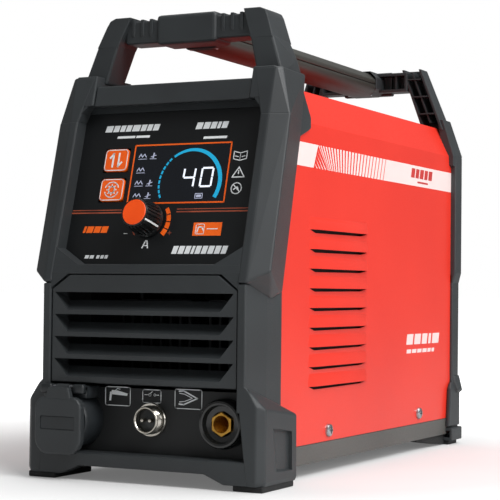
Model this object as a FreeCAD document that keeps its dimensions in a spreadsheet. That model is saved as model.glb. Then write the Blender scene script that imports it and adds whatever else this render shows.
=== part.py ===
"""Inverter plasma cutter: a leaning moulded front frame and an upright rear frame joined by a
steel tray, a folded steel cover and a long carry handle, with the panel controls, the front
sockets, the rear fittings and the power electronics inside.

Millimetres. +Z is up, the front faces -Y and +X is on the right of a person facing the front.
The origin is on the floor under the middle of the whole object's box.
"""
import FreeCAD, Part
import os
import re
import Sketcher
from FreeCAD import Placement, Rotation, Vector

doc = FreeCAD.newDocument("plasma_cutter")
sheet = doc.addObject("Spreadsheet::Sheet", "Sizes")
aliases = []
nodes = []
WORD = re.compile(r"[a-z_][a-z_0-9]*")
LEAN = 15.0


def sizes(**named):
    """Adds driving dimensions to the sheet, one named cell each."""
    for name, number in named.items():
        row = len(aliases) + 1
        sheet.set(f"A{row}", name)
        sheet.set(f"B{row}", str(number))
        sheet.setAlias(f"B{row}", name)
        aliases.append(name)
    sheet.recompute()


def link(text):
    """Turns plain size names in a formula into references to the sheet."""
    return WORD.sub(lambda m: "Sizes." + m.group() if m.group() in aliases else m.group(), str(text))


def bind(thing, **formulas):
    for name, text in formulas.items():
        thing.setExpression(name, link(text))


def place(thing, spot, turn=Rotation(), tilted=False):
    """Puts a primitive at a spot; a tilted spot is (x, depth, height) on the leaning face."""
    across, deep, up = spot
    if tilted:
        turn = Rotation(Vector(1, 0, 0), -LEAN).multiply(turn)
        spot = (across,
                f"face_y + ({up}) * sin(lean) + ({deep}) * cos(lean)",
                f"lean_from + ({up}) * cos(lean) - ({deep}) * sin(lean)")
    thing.Placement = Placement(Vector(0, 0, 0), turn)
    for axis, text in zip("xyz", spot):
        thing.setExpression("Placement.Base." + axis, link(text))


def block(name, low, span, tilted=False):
    """A box from its low corner and its span along x, y and z."""
    box = doc.addObject("Part::Box", name)
    bind(box, Length=span[0], Width=span[1], Height=span[2])
    place(box, low, tilted=tilted)
    return box


TURNS = {"+z": Rotation(),
         "+x": Rotation(Vector(0, 1, 0), 90),
         "+y": Rotation(Vector(1, 0, 0), -90),
         "-y": Rotation(Vector(1, 0, 0), 90)}


def rod(name, spot, radius, length, way, tilted=False):
    """A cylinder from the middle of its first end, along one direction."""
    cylinder = doc.addObject("Part::Cylinder", name)
    bind(cylinder, Radius=radius, Height=length)
    place(cylinder, spot, TURNS[way], tilted)
    return cylinder


def cone(name, spot, radii, length, way, tilted=False):
    """A truncated cone from the middle of its first end."""
    thing = doc.addObject("Part::Cone", name)
    bind(thing, Radius1=radii[0], Radius2=radii[1], Height=length)
    place(thing, spot, TURNS[way], tilted)
    return thing


def taper(name, levels, first, last):
    """A block with level ends: first and last are (x0, x1, y0, y1) at the two heights."""
    wedge = doc.addObject("Part::Wedge", name)
    bind(wedge, Ymin=levels[0], Ymax=levels[1],
         Zmin=first[0], Zmax=first[1], Xmin=first[2], Xmax=first[3],
         Z2min=last[0], Z2max=last[1], X2min=last[2], X2max=last[3])
    place(wedge, ("0", "0", "0"), Rotation(Vector(1, 1, 1), 120))
    return wedge


def side_taper(name, reach, root, tip, tilted=False):
    """A block that narrows along x: root and tip are (y0, y1, z0, z1) at the two x values."""
    wedge = doc.addObject("Part::Wedge", name)
    bind(wedge, Ymin=reach[0], Ymax=reach[1],
         Zmin=root[0], Zmax=root[1], Xmin=root[2], Xmax=root[3],
         Z2min=tip[0], Z2max=tip[1], X2min=tip[2], X2max=tip[3])
    place(wedge, ("0", "0", "0"), Rotation(Vector(1, 1, 1), 240), tilted)
    return wedge


def join(name, pieces):
    fused = doc.addObject("Part::MultiFuse", name)
    fused.Shapes = pieces
    fused.Refine = True
    return fused


def cut(name, base, tool):
    thing = doc.addObject("Part::Cut", name)
    thing.Base = base
    thing.Tool = tool
    return thing


def group(name, pieces):
    """Separate solids that share one node."""
    thing = doc.addObject("Part::Compound", name)
    thing.Links = pieces
    return thing


def mirrored(name, source):
    """The same piece on the left side."""
    thing = doc.addObject("Part::Mirroring", name)
    thing.Source = source
    thing.Normal = Vector(1, 0, 0)
    return thing


def node(label, thing):
    """Marks a finished piece; its label names the file that it is written to."""
    thing.Label = label
    nodes.append(thing)
    return thing


def outline(body, role, points, offset):
    """A closed outline on one of the body's own planes, every corner bound to the sheet."""
    plane = next(p for p in body.Origin.OriginFeatures if p.Role == role)
    sketch = body.newObject("Sketcher::SketchObject", body.Name + "_outline")
    sketch.AttachmentSupport = [(plane, "")]
    sketch.MapMode = "FlatFace"
    sketch.setExpression("AttachmentOffset.Base.z", link(offset))
    count = len(points)
    seats = [Rotation(Vector(0, 0, 1), 360.0 * i / count).multVec(Vector(50, 0, 0)) for i in range(count)]
    for i in range(count):
        sketch.addGeometry(Part.LineSegment(seats[i], seats[(i + 1) % count]))
    for i in range(count):
        sketch.addConstraint(Sketcher.Constraint("Coincident", i, 2, (i + 1) % count, 1))
    for i, corner in enumerate(points):
        for kind, text in zip(("DistanceX", "DistanceY"), corner):
            number = sketch.addConstraint(Sketcher.Constraint(kind, -1, 1, i, 1, 10.0 + i))
            sketch.setExpression(f"Constraints[{number}]", link(text))
    return sketch


def profile(name, role, points, offset, length):
    """A body padded from one outline: XZ outlines grow towards -Y, YZ towards +X, XY towards +Z."""
    body = doc.addObject("PartDesign::Body", name)
    sketch = outline(body, role, points, offset)
    pad = body.newObject("PartDesign::Pad", name + "_pad")
    pad.Profile = sketch
    bind(pad, Length=length)
    return body


def pocket(body, name, role, points, offset, depth):
    """Cuts an outline both ways from its plane."""
    sketch = outline(body, role, points, offset)
    tool = body.newObject("PartDesign::Pocket", name)
    tool.Profile = sketch
    tool.Midplane = True
    bind(tool, Length=depth)
    return tool


def both(pairs):
    """The corners of a symmetric outline from those of its right half, bottom to top."""
    return pairs + [("-(" + x + ")", z) for x, z in reversed(pairs)]


# ---- overall ---------------------------------------------------------------------------------
sizes(lean=LEAN, lean_from=112, face_y=-163, half_width=76, column_in=60, side_half=66,
      foot_top=3, crease_z=206, shoulder_z=233, top_z=269, frame_deep=43, rear_y=172, rear_deep=13)


# ---- front frame: one ABS moulding, columns, boots, hand loop --------------------------------
sizes(boot_top=46, boot_fade=56, bay_half=66, post_in=50, post_out=64, post_in_top=37.5,
      post_out_top=51.7, post_set=39, post_rear=71, bulge_low=6, bulge_high=98,
      bar_low=253, bar_high=267, collar_half=20, collar_low=251.4, collar_high=269,
      lip_top=16, lip_low=8, rail_low=214.5, rail_high=227, sill_low=116, sill_high=121.5)


def front_frame():
    right = [
        block("fr_column", ("column_in", "face_y", "boot_fade - 3"),
              ("side_half - column_in", "frame_deep", "lean_from - boot_fade + 3")),
        taper("fr_lean", ("lean_from", "crease_z"),
              ("column_in", "side_half", "face_y", "face_y + frame_deep"),
              ("column_in", "side_half", "face_y + 25.2", "face_y + 68.2")),
        taper("fr_tooth", ("crease_z - 10", "crease_z"),
              ("column_in", "side_half", "face_y + 55", "face_y + 65"),
              ("column_in", "side_half", "face_y + 55", "face_y + 78")),
        taper("fr_neck_low", ("crease_z", "rail_low + 1.5"),
              ("column_in", "side_half", "face_y + 25.2", "face_y + 78"),
              ("column_in", "post_out + 1.3", "face_y + 27.9", "face_y + 75.5")),
        taper("fr_neck", ("rail_low + 1.5", "shoulder_z"),
              ("column_in", "post_out + 1.3", "face_y + 27.9", "face_y + 75.5"),
              ("post_in", "post_out", "face_y + 32.4", "face_y + post_rear")),
        taper("fr_post_low", ("shoulder_z", "bar_low - 1"),
              ("post_in", "post_out", "face_y + post_set", "face_y + post_rear"),
              ("post_in - 6.6", "post_out - 6.5", "face_y + 42.9", "face_y + 64.5")),
        taper("fr_post_high", ("bar_low - 1", "top_z"),
              ("post_in - 6.6", "post_out - 6.5", "face_y + 42.9", "face_y + 64.5"),
              ("post_in_top", "post_out_top", "face_y + 46.4", "face_y + 67")),
        side_taper("fr_bulge", ("side_half - 1", "half_width"),
                   ("0", "39", "bulge_low - 8", "bulge_high + 8"),
                   ("6", "10", "bulge_low", "bulge_high"), tilted=True),
        block("fr_boot", ("bay_half", "face_y", "foot_top"),
              ("half_width - bay_half - 4", "frame_deep", "boot_fade - foot_top - 2")),
        side_taper("fr_boot_side", ("half_width - 4", "half_width"),
                   ("face_y", "face_y + frame_deep", "foot_top", "boot_fade - 4"),
                   ("face_y + 4", "face_y + frame_deep", "foot_top", "boot_top")),
        block("fr_boot_cap", ("column_in", "face_y", "boot_fade - 2.5"),
              ("half_width - column_in - 6", "frame_deep - 0.5", "2")),
    ]
    half = join("fr_half", right)
    middle = [
        block("fr_bar", ("-post_in_top - 6", "face_y + 48", "bar_low"),
              ("2 * post_in_top + 12", "17", "bar_high - bar_low")),
        block("fr_collar", ("-collar_half", "face_y + 46.5", "collar_low"),
              ("2 * collar_half", "20.5", "collar_high - collar_low")),
        taper("fr_rail", ("rail_low", "rail_high"),
              ("-column_in - 1", "column_in + 1", "face_y + 29", "face_y + 41"),
              ("-post_in - 4", "post_in + 4", "face_y + 32.2", "face_y + 44.2")),
        block("fr_deck", ("-post_in - 7", "face_y + 40", "rail_high - 4"),
              ("2 * post_in + 14", "32", "2.8")),
        block("fr_sill", ("-column_in - 1", "face_y + 0.8", "sill_low"),
              ("2 * column_in + 2", "10", "sill_high - sill_low")),
        block("fr_divider", ("-bay_half - 1", "face_y + 1", "boot_fade - 3"),
              ("2 * bay_half + 2", "11", "2")),
        block("fr_lip", ("-bay_half - 1", "face_y", "lip_low"),
              ("2 * bay_half + 2", "13", "lip_top - lip_low")),
    ]
    return node("front_frame", join("fr_all", [half, mirrored("fr_left", half)] + middle))


# ---- rear frame: the upright moulding behind the cover ---------------------------------------
sizes(rear_half=68, rear_post_in=43, rear_post_out=58.4, rear_post_in_top=30, rear_post_out_top=46,
      rear_bar_low=253, rear_bar_high=267, rear_collar_half=19)


def rear_frame():
    right = [
        block("rr_column", ("column_in", "rear_y - rear_deep", "foot_top"),
              ("rear_half - column_in - 1", "rear_deep", "crease_z - foot_top")),
        block("rr_boot", ("column_in + 4.3", "rear_y - 22", "foot_top"),
              ("rear_half - column_in - 3.3", "22", "boot_top - foot_top - 4")),
        taper("rr_tooth", ("crease_z - 8", "crease_z"),
              ("column_in + 4.3", "rear_half - 1", "rear_y - 14", "rear_y"),
              ("column_in + 4.3", "rear_half - 1", "rear_y - 18", "rear_y")),
        taper("rr_neck", ("crease_z", "shoulder_z"),
              ("column_in - 4", "rear_half", "rear_y - rear_deep", "rear_y"),
              ("rear_post_in", "rear_post_out", "rear_y - 21", "rear_y - 4")),
        taper("rr_post", ("shoulder_z", "top_z - 0.5"),
              ("rear_post_in", "rear_post_out", "rear_y - 21", "rear_y - 8"),
              ("rear_post_in_top", "rear_post_out_top", "rear_y - 24", "rear_y - 11")),
    ]
    half = join("rr_half", right)
    middle = [
        block("rr_bar", ("-rear_post_in_top - 6", "rear_y - 24", "rear_bar_low"),
              ("2 * rear_post_in_top + 12", "13", "rear_bar_high - rear_bar_low")),
        block("rr_collar", ("-rear_collar_half", "rear_y - 28", "collar_low"),
              ("2 * rear_collar_half", "17", "collar_high - collar_low - 0.5")),
        block("rr_rail", ("-column_in - 1", "rear_y - rear_deep", "crease_z"),
              ("2 * column_in + 2", "rear_deep - 5", "rail_high - crease_z")),
        block("rr_foot_rail", ("-column_in - 1", "rear_y - rear_deep", "lip_low"),
              ("2 * column_in + 2", "rear_deep", "6")),
    ]
    return node("rear_frame", join("rr_all", [half, mirrored("rr_left", half)] + middle))


# ---- carry handle: two shells clamped round the length between the loops ---------------------
sizes(grip_half=13, grip_top=266.5, grip_low=250, grip_split=258, grip_flat=7, grip_wall=2.2, handle_screw_r=1.5)


def handle_screw_rods(name, radius):
    """Four screws up through the end walls of the lower shell into the upper one."""
    return [rod(f"{name}_{i}{j}", (x, y, "grip_low + 0.5"), radius, "grip_split - grip_low + 4", "+z")
            for i, y in enumerate(("face_y + 69", "rear_y - 30")) for j, x in enumerate(("-8", "8"))]


def carry_handle():
    front, rear = "face_y + 67", "rear_y - 28"
    length = "rear_y - 28 - face_y - 67"
    upper = both([("grip_half", "grip_split + 0.1"), ("grip_half", "grip_top - 5.5"), ("grip_flat", "grip_top")])
    lower = both([("grip_flat", "grip_low"), ("grip_half", "grip_low + 4.5"), ("grip_half", "grip_split")])
    core = both([("grip_flat - 2", "grip_low + grip_wall"),
                 ("grip_half - grip_wall", "grip_low + 5.5"),
                 ("grip_half - grip_wall", "grip_top - 6.5"),
                 ("grip_flat - 2", "grip_top - grip_wall")])
    for label, points in (("handle_upper_shell", upper), ("handle_lower_shell", lower)):
        body = profile(label + "_body", "XZ_Plane", points, "-(" + rear + ")", length)
        pocket(body, label + "_hollow", "XZ_Plane", core, "-(" + front + " + (" + length + ") / 2)",
               length + " - 8")
        holes = join(label + "_holes", handle_screw_rods(label + "_hole", "handle_screw_r + 0.05"))
        node(label, cut(label + "_cut", body, holes))
    node("handle_screws", group("hs_all", handle_screw_rods("hs", "handle_screw_r")))


# ---- steel tray and cover --------------------------------------------------------------------
sizes(sheet_thick=1.2, cover_half=64, cover_low=19, cover_top=226, cover_top_half=54.5,
      tray_low=7.5, tray_flange=36, cover_front=12, cover_rear=-0.5)


def cover():
    outer = [("cover_half", "cover_low"), ("cover_half", "crease_z - 0.5"), ("cover_top_half", "cover_top")]
    inner = [("cover_half - sheet_thick", "cover_low"),
             ("cover_half - sheet_thick", "crease_z - 0.8"),
             ("cover_top_half - 0.7", "cover_top - sheet_thick")]
    loop = outer + [("-(" + x + ")", z) for x, z in reversed(outer)]
    loop += inner_loop(inner)
    rear = "rear_y - rear_deep - 0.1"
    body = profile("cover_body", "XZ_Plane", loop, "-(" + rear + ")", rear + " - face_y - frame_deep - 0.1")
    front_line = [("face_y - 20", "2"), ("face_y + frame_deep + 0.1", "2"),
                  ("face_y + frame_deep + 0.1", "lean_from"), ("face_y + 65.6", "crease_z - 10"),
                  ("face_y + 78.3", "crease_z"), ("face_y + 72.3", "shoulder_z - 4"),
                  ("face_y + 72.3", "shoulder_z + 10"), ("face_y - 20", "shoulder_z + 10")]
    pocket(body, "cover_front_line", "YZ_Plane", front_line, "0", "4 * half_width")
    rear_line = [("rear_y - 24", "2"), ("rear_y + 5", "2"), ("rear_y + 5", "boot_top - 3"),
                 ("rear_y - 22.3", "boot_top - 3"), ("rear_y - 22.3", "3")]
    pocket(body, "cover_rear_line", "YZ_Plane", rear_line, "0", "4 * half_width")
    neck_line = [("rear_y - 14.4", "crease_z - 9"), ("rear_y + 5", "crease_z - 9"),
                 ("rear_y + 5", "shoulder_z"), ("rear_y - 21.4", "shoulder_z"),
                 ("rear_y - 18.4", "crease_z")]
    pocket(body, "cover_neck_line", "YZ_Plane", neck_line, "0", "4 * half_width")
    slots = [block(f"cv_slot_{tag}{i}", (x, "face_y + 84", f"141.5 - {i} * 11.5"), ("5", "83", "3"))
             for tag, x in (("l", "-cover_half - 2"), ("r", "cover_half - 3")) for i in range(9)]
    return node("cover", cut("cover_cut", body, join("cover_tools", slots + screw_holes())))


def inner_loop(inner):
    """The inside of a folded sheet, walked back from the left edge to the right one."""
    return [("-(" + x + ")", z) for x, z in inner] + list(reversed(inner))


sizes(screw_z=25.5, screw_front=111, screw_rear=260, screw_r=2.0)


def screw_spots():
    return [("face_y + screw_front", "f"), ("face_y + screw_rear", "b")]


def screw_holes():
    return [rod("cv_hole_" + tag, ("-cover_half - 5", y, "screw_z"), "screw_r", "2 * cover_half + 10", "+x")
            for y, tag in screw_spots()]


def cover_screws():
    pieces = []
    for y, tag in screw_spots():
        for side, head, shank in (("l", "-cover_half - 2.4", "-cover_half"),
                                  ("r", "cover_half", "cover_half - 7")):
            pieces.append(join(f"cs_{tag}{side}", [
                rod(f"cs_head_{tag}{side}", (head, y, "screw_z"), "4", "2.4", "+x"),
                rod(f"cs_shank_{tag}{side}", (shank, y, "screw_z"), "screw_r - 0.05", "7", "+x")]))
    return node("cover_screws", group("cs_all", pieces))


def chassis_tray():
    step = "cover_half - sheet_thick - 0.1"
    outer = [("cover_half", "tray_low"), ("cover_half", "cover_low - 0.2"), (step, "cover_low - 0.2"),
             (step, "tray_flange")]
    inner = [("cover_half - 3", "tray_flange"), ("cover_half - 3", "tray_low + 1.6")]
    loop = outer + inner + [("-(" + x + ")", z) for x, z in reversed(outer + inner)]
    body = profile("tray_body", "XZ_Plane", loop, "-(rear_y - rear_deep - 0.1)",
                   "rear_y - rear_deep - 0.2 - face_y - 16.1")
    tools = [rod("ct_hole_" + tag, ("-cover_half - 5", y, "screw_z"), "screw_r", "2 * cover_half + 10", "+x")
             for y, tag in screw_spots()]
    for tag, x in (("l", "-half_width"), ("r", "cover_half - 4.1")):
        tools.append(block("ct_front_" + tag, (x, "face_y", "tray_low - 1"),
                           ("half_width - cover_half + 4.1", "frame_deep + 0.2", "boot_fade")))
        tools.append(block("ct_rear_" + tag, (x, "rear_y - 22.2", "tray_low - 1"),
                           ("half_width - cover_half + 4.1", "22", "boot_fade")))
    return node("chassis_tray", cut("tray_cut", body, join("tray_tools", tools)))


def rubber_feet():
    pads = []
    for tag, y, deep in (("f", "face_y + 5", "33"), ("b", "rear_y - 20", "18")):
        for side, x, wide in (("l", "-half_width + 2", "18"), ("r", "half_width - 20", "18")):
            if tag == "b":
                x = "-rear_half + 2" if side == "l" else "rear_half - 12"
                wide = "10"
            pads.append(block(f"rf_{tag}{side}", (x, y, "0"), (wide, deep, "foot_top")))
    return node("rubber_feet", group("rf_all", pads))


# ---- front grille: the slotted insert --------------------------------------------------------
sizes(grille_half=59.8, grille_low=55.2, grille_high=115.8, slot_pitch=12.54, slot_top=105.9)


def front_grille():
    shape = both([("grille_half", "grille_low"), ("grille_half", "grille_high - 8"),
                  ("grille_half - 12", "grille_high")])
    body = profile("grille_body", "XZ_Plane", shape, "-(face_y + 12)", "11.5")
    hollow = both([("grille_half - 3", "grille_low + 2"), ("grille_half - 3", "grille_high - 10"),
                   ("grille_half - 14", "grille_high - 3")])
    pocket(body, "grille_hollow", "XZ_Plane", hollow, "-(face_y + 12)", "12")
    slots = [taper(f"gr_slot_{i}", (f"slot_top - {i} * slot_pitch - 6", f"slot_top - {i} * slot_pitch"),
                   ("-53", "53", "face_y - 2", "face_y + 14"), ("-57", "57", "face_y - 2", "face_y + 14"))
             for i in range(4)]
    return node("front_grille", cut("grille_cut", body, join("grille_slots", slots)))


# ---- connector bay ---------------------------------------------------------------------------
sizes(plate_deep=14, plate_thick=2, socket_z=34, torch_x=-48.4, aux_x=0, clamp_x=47, gas_r=5, thread_r=7.9)


def connector_plate():
    plate = block("cp_plate", ("-bay_half", "face_y + plate_deep", "tray_low + 1.7"),
                  ("2 * bay_half", "plate_thick", "boot_fade - 4 - tray_low - 1.7"))
    spots = (("torch", "torch_x", "socket_z", "13"), ("aux", "aux_x", "socket_z + 1", "thread_r + 0.1"),
             ("clamp", "clamp_x", "socket_z + 1", "9"))
    holes = [rod("cp_hole_" + tag, (x, "face_y + plate_deep - 1", z), radius, "4", "+y")
             for tag, x, z, radius in spots]
    corners = [block("cp_corner_" + tag, (x, "face_y + plate_deep - 1", "tray_low"), ("3", "4", "boot_fade"))
               for tag, x in (("l", "-bay_half - 0.5"), ("r", "bay_half - 2.5"))]
    return node("connector_plate", cut("cp_cut", plate, join("cp_tools", holes + corners)))


def torch_socket():
    """The round housing of the torch's central connector, with two hinge lugs on top."""
    body = join("ts_body", [
        block("ts_square", ("torch_x - 15", "face_y - 3.6", "socket_z - 17"), ("30", "17.5", "32")),
        rod("ts_neck", ("torch_x", "face_y + 13.8", "socket_z"), "12.9", "8", "+y"),
        block("ts_lug_l", ("torch_x - 15", "face_y - 5.5", "socket_z + 14.9"), ("8.4", "5.3", "5.6")),
        block("ts_lug_r", ("torch_x + 6.6", "face_y - 5.5", "socket_z + 14.9"), ("8.4", "5.3", "5.6"))])
    tools = join("ts_tools", [
        rod("ts_cup", ("torch_x", "face_y - 4", "socket_z - 1"), "11.5", "22", "+y"),
        rod("ts_pin_hole", ("torch_x - 16", "face_y - 2", "hinge_z"), "pin_r", "32", "+x"),
        rod("ts_back", ("torch_x", "face_y + 16", "socket_z - 1"), "6.45", "10", "+y"),
        rod("ts_signal_l", ("torch_x - 9.3", "face_y + 16", "socket_z - 1"), "1.0", "10", "+y"),
        rod("ts_signal_r", ("torch_x + 9.3", "face_y + 16", "socket_z - 1"), "1.0", "10", "+y")])
    return node("torch_socket_housing", cut("ts_cut", body, tools))


sizes(hinge_z=51.8, pin_r=1.0, flap_thick=5, flap_front=9, tongue=4.2)


def torch_flap():
    """A sprung dust cover whose tongue turns on the pin between the lugs."""
    body = join("tf_body", [
        block("tf_plate", ("torch_x - 15.5", "face_y - flap_front", "socket_z - 19.4"),
              ("31", "flap_thick", "32.4")),
        block("tf_tongue", ("torch_x - tongue", "face_y - flap_front", "socket_z + 12.5"),
              ("2 * tongue", "flap_thick", "6.1")),
        rod("tf_knuckle", ("torch_x - tongue", "face_y - 2", "hinge_z"), "2.2", "2 * tongue", "+x"),
        block("tf_arm", ("torch_x - tongue", "face_y - 6", "hinge_z - 2"), ("2 * tongue", "4", "2.8"))])
    bore = rod("tf_bore", ("torch_x - 8", "face_y - 2", "hinge_z"), "pin_r + 0.05", "16", "+x")
    return node("torch_socket_flap", cut("tf_cut", body, bore))


def flap_pin():
    return node("flap_hinge_pin", rod("fp_pin", ("torch_x - 15", "face_y - 2", "hinge_z"), "pin_r", "30", "+x"))


def flap_spring():
    """The two coils of the torsion spring, one on each side of the tongue, as sleeves on the pin."""
    coils = []
    for tag, x in (("l", "torch_x - 6.4"), ("r", "torch_x + 4.4")):
        sleeve = rod("sp_out_" + tag, (x, "face_y - 2", "hinge_z"), "pin_r + 1", "2", "+x")
        bore = rod("sp_in_" + tag, (x + " - 1", "face_y - 2", "hinge_z"), "pin_r + 0.3", "4", "+x")
        coils.append(cut("sp_" + tag, sleeve, bore))
    return node("flap_spring", group("sp_all", coils))


def torch_connector():
    """The brass central connector: a threaded gas and power tube and two signal pins."""
    tube = join("tc_tube", [
        rod("tc_thread", ("torch_x", "face_y + 3", "socket_z - 1"), "7", "14.5", "+y"),
        rod("tc_neck", ("torch_x", "face_y + 17.4", "socket_z - 1"), "6.4", "9.6", "+y"),
        rod("tc_disc", ("torch_x", "face_y + 24", "socket_z - 1"), "10", "3", "+y")])
    bore = rod("tc_bore", ("torch_x", "face_y + 2", "socket_z - 1"), "gas_r", "27", "+y")
    return node("torch_connector", cut("tc_cut", tube, bore))


def torch_signal_pins():
    pins = [rod(f"tp_{tag}", (f"torch_x + {x}", "face_y + 5", "socket_z - 1"), "1.0", "14", "+y")
            for tag, x in (("l", "(-9.3)"), ("r", "9.3"))]
    return node("torch_signal_pins", group("tp_all", pins))


def control_socket():
    """The round two-pin threaded signal socket: shell, insert, pins and nut."""
    x, z = "aux_x", "socket_z + 1"
    shell = join("ax_shell", [
        rod("ax_thread", (x, "face_y + 6", z), "thread_r", "18", "+y"),
        rod("ax_flange", (x, "face_y + 11.4", z), "9.5", "2.5", "+y")])
    shell = cut("ax_cut", shell, rod("ax_bore", (x, "face_y + 5", z), "6.2", "22", "+y"))
    node("control_socket_shell", shell)
    insert = rod("ax_insert", (x, "face_y + 10", z), "6.15", "12", "+y")
    holes = [rod("ax_pin_hole_" + tag, (f"aux_x + {dx}", "face_y + 9", z), "1.0", "14", "+y")
             for tag, dx in (("l", "(-2.5)"), ("r", "2.5"))]
    node("control_socket_insert", cut("ax_insert_cut", insert, join("ax_pin_holes", holes)))
    pins = [rod("ax_pin_" + tag, (f"aux_x + {dx}", "face_y + 7.5", z), "1.0", "17", "+y")
            for tag, dx in (("l", "(-2.5)"), ("r", "2.5"))]
    node("control_socket_pins", group("ax_pins", pins))
    nut = doc.addObject("Part::Prism", "ax_nut_hex")
    bind(nut, Polygon="6", Circumradius="11.5", Height="2.5")
    place(nut, (x, "face_y + 16.1", z), TURNS["+y"])
    node("control_socket_nut", cut("ax_nut", nut, rod("ax_nut_bore", (x, "face_y + 15", z), "thread_r + 0.05", "5", "+y")))


sizes(clamp_bore_r=4.5)


def clamp_socket():
    """The twist-lock earth clamp socket: insulating ring, brass tube and back nut."""
    x, z = "clamp_x", "socket_z + 1"
    ring = join("cl_ring", [rod("cl_flange", (x, "face_y + 8", z), "13.8", "6", "+y"),
                            rod("cl_neck", (x, "face_y + 13.9", z), "8.95", "6", "+y")])
    ring = cut("cl_ring_cut", ring, rod("cl_ring_bore", (x, "face_y + 7", z), "7.55", "16", "+y"))
    node("clamp_socket_ring", ring)
    tube = rod("cl_tube", (x, "face_y + 7", z), "7.5", "30", "+y")
    brass = cut("cl_brass_cut", tube, rod("cl_bore", (x, "face_y + 6", z), "clamp_bore_r", "26", "+y"))
    node("clamp_socket_brass", brass)
    nut = doc.addObject("Part::Prism", "cl_nut_hex")
    bind(nut, Polygon="6", Circumradius="13", Height="4")
    place(nut, (x, "face_y + 20.1", z), TURNS["+y"])
    node("clamp_socket_nut", cut("cl_nut", nut, rod("cl_nut_bore", (x, "face_y + 19", z), "7.55", "6", "+y")))


# ---- control panel, on the leaning face ------------------------------------------------------
sizes(panel_deep=9.7, panel_thick=2, panel_low=10.2, panel_high=106.5, window_x=-23.3, window_wide=62.5,
      window_low=49, window_tall=35.2, button_x=-42.7, button_size=16, button_tall=13.8,
      upper_button=68.5, lower_button=50.4, knob_x=-7.5, knob_up=38.6, shaft_r=3)


def control_panel():
    plate = block("pn_plate", ("-column_in", "panel_deep", "panel_low"),
                  ("2 * column_in", "panel_thick", "panel_high - panel_low"), tilted=True)
    tools = [block("pn_window", ("window_x - 0.2", "panel_deep - 1", "window_low - 0.2"),
                   ("window_wide + 0.4", "5", "window_tall + 0.4"), tilted=True),
             rod("pn_shaft", ("knob_x", "panel_deep + 4", "knob_up"), "3.6", "6", "-y", tilted=True)]
    for tag, up in (("u", "upper_button"), ("d", "lower_button")):
        tools.append(block("pn_button_" + tag, ("button_x - 0.4", "panel_deep - 1", up + " - 0.4"),
                           ("button_size + 0.8", "5", "button_tall + 0.8"), tilted=True))
    return node("control_panel", cut("pn_cut", plate, join("pn_tools", tools)))


def display():
    node("display_window", block("dw", ("window_x", "panel_deep - 0.1", "window_low"),
                                 ("window_wide", "1.6", "window_tall"), tilted=True))
    node("display_module", block("dm", ("window_x + 2", "panel_deep + 2.1", "window_low + 1"),
                                 ("window_wide - 4", "7.8", "window_tall - 2"), tilted=True))


def buttons():
    for label, up in (("mode_button", "upper_button"), ("gas_test_button", "lower_button")):
        cap = join(label + "_all", [
            block(label + "_cap", ("button_x", "panel_deep - 1.4", up),
                  ("button_size", "3.4", "button_tall"), tilted=True),
            block(label + "_stem", ("button_x + 5", "panel_deep + 1.9", up + " + 4"), ("6", "5", "6"),
                  tilted=True)])
        node(label, cap)


def tact_switches():
    bodies = [block("tact_" + tag, ("button_x + 4", "panel_deep + 7.8", up + " + 3"), ("8", "2.2", "8"),
                    tilted=True)
              for tag, up in (("u", "upper_button"), ("d", "lower_button"))]
    return node("tact_switches", group("tact_all", bodies))


def knob():
    spot = ("knob_x", "panel_deep - 1", "knob_up")
    body = join("kn_body", [
        rod("kn_skirt", spot, "11", "3", "-y", tilted=True),
        cone("kn_grip", ("knob_x", "panel_deep - 3.9", "knob_up"), ("10", "8.8"), "13", "-y", tilted=True)])
    tools = join("kn_tools", [
        rod("kn_bore", ("knob_x", "panel_deep", "knob_up"), "shaft_r + 0.03", "12", "-y", tilted=True),
        rod("kn_seat", ("knob_x", "panel_deep - 14.9", "knob_up"), "7.45", "4", "-y", tilted=True)])
    node("knob_body", cut("kn_cut", body, tools))
    node("knob_cap", rod("kn_cap", ("knob_x", "panel_deep - 14.9", "knob_up"), "7.4", "3.1", "-y", tilted=True))


def potentiometer():
    can = join("pt_all", [
        rod("pt_can", ("knob_x", "panel_deep + 14", "knob_up"), "8", "9", "-y", tilted=True),
        rod("pt_bush", ("knob_x", "panel_deep + 5.1", "knob_up"), "3.5", "5.5", "-y", tilted=True)])
    bore = rod("pt_bore", ("knob_x", "panel_deep + 12", "knob_up"), "shaft_r + 0.05", "14", "-y", tilted=True)
    node("potentiometer", cut("pt_cut", can, bore))
    node("potentiometer_shaft", rod("pt_shaft", ("knob_x", "panel_deep + 11.5", "knob_up"), "shaft_r", "22.5",
                                    "-y", tilted=True))


def control_board():
    board = block("cb_board", ("-54", "panel_deep + 10.1", "panel_low + 3"), ("108", "1.6", "82"), tilted=True)
    hole = rod("cb_hole", ("knob_x", "panel_deep + 18", "knob_up"), "8.2", "12", "-y", tilted=True)
    return node("control_board", cut("cb_cut", board, hole))


def board_spacers():
    """Four moulded pillars that hold the control board off the panel."""
    spots = [(x, up) for x in ("-50", "50") for up in ("panel_low + 7", "panel_low + 80")]
    pillars = [rod(f"bs_{i}", (x, "panel_deep + 10.1", up), "3", "8.1", "-y", tilted=True)
               for i, (x, up) in enumerate(spots)]
    return node("board_spacers", group("bs_all", pillars))


# ---- rear panel and its fittings -------------------------------------------------------------
sizes(rear_plate_y=157.5, fan_z=128, fan_half=46, fan_bore=43, fan_deep=25, switch_x=-26, switch_z=190,
      inlet_x=36, gland_x=-36, low_z=42)


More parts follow.
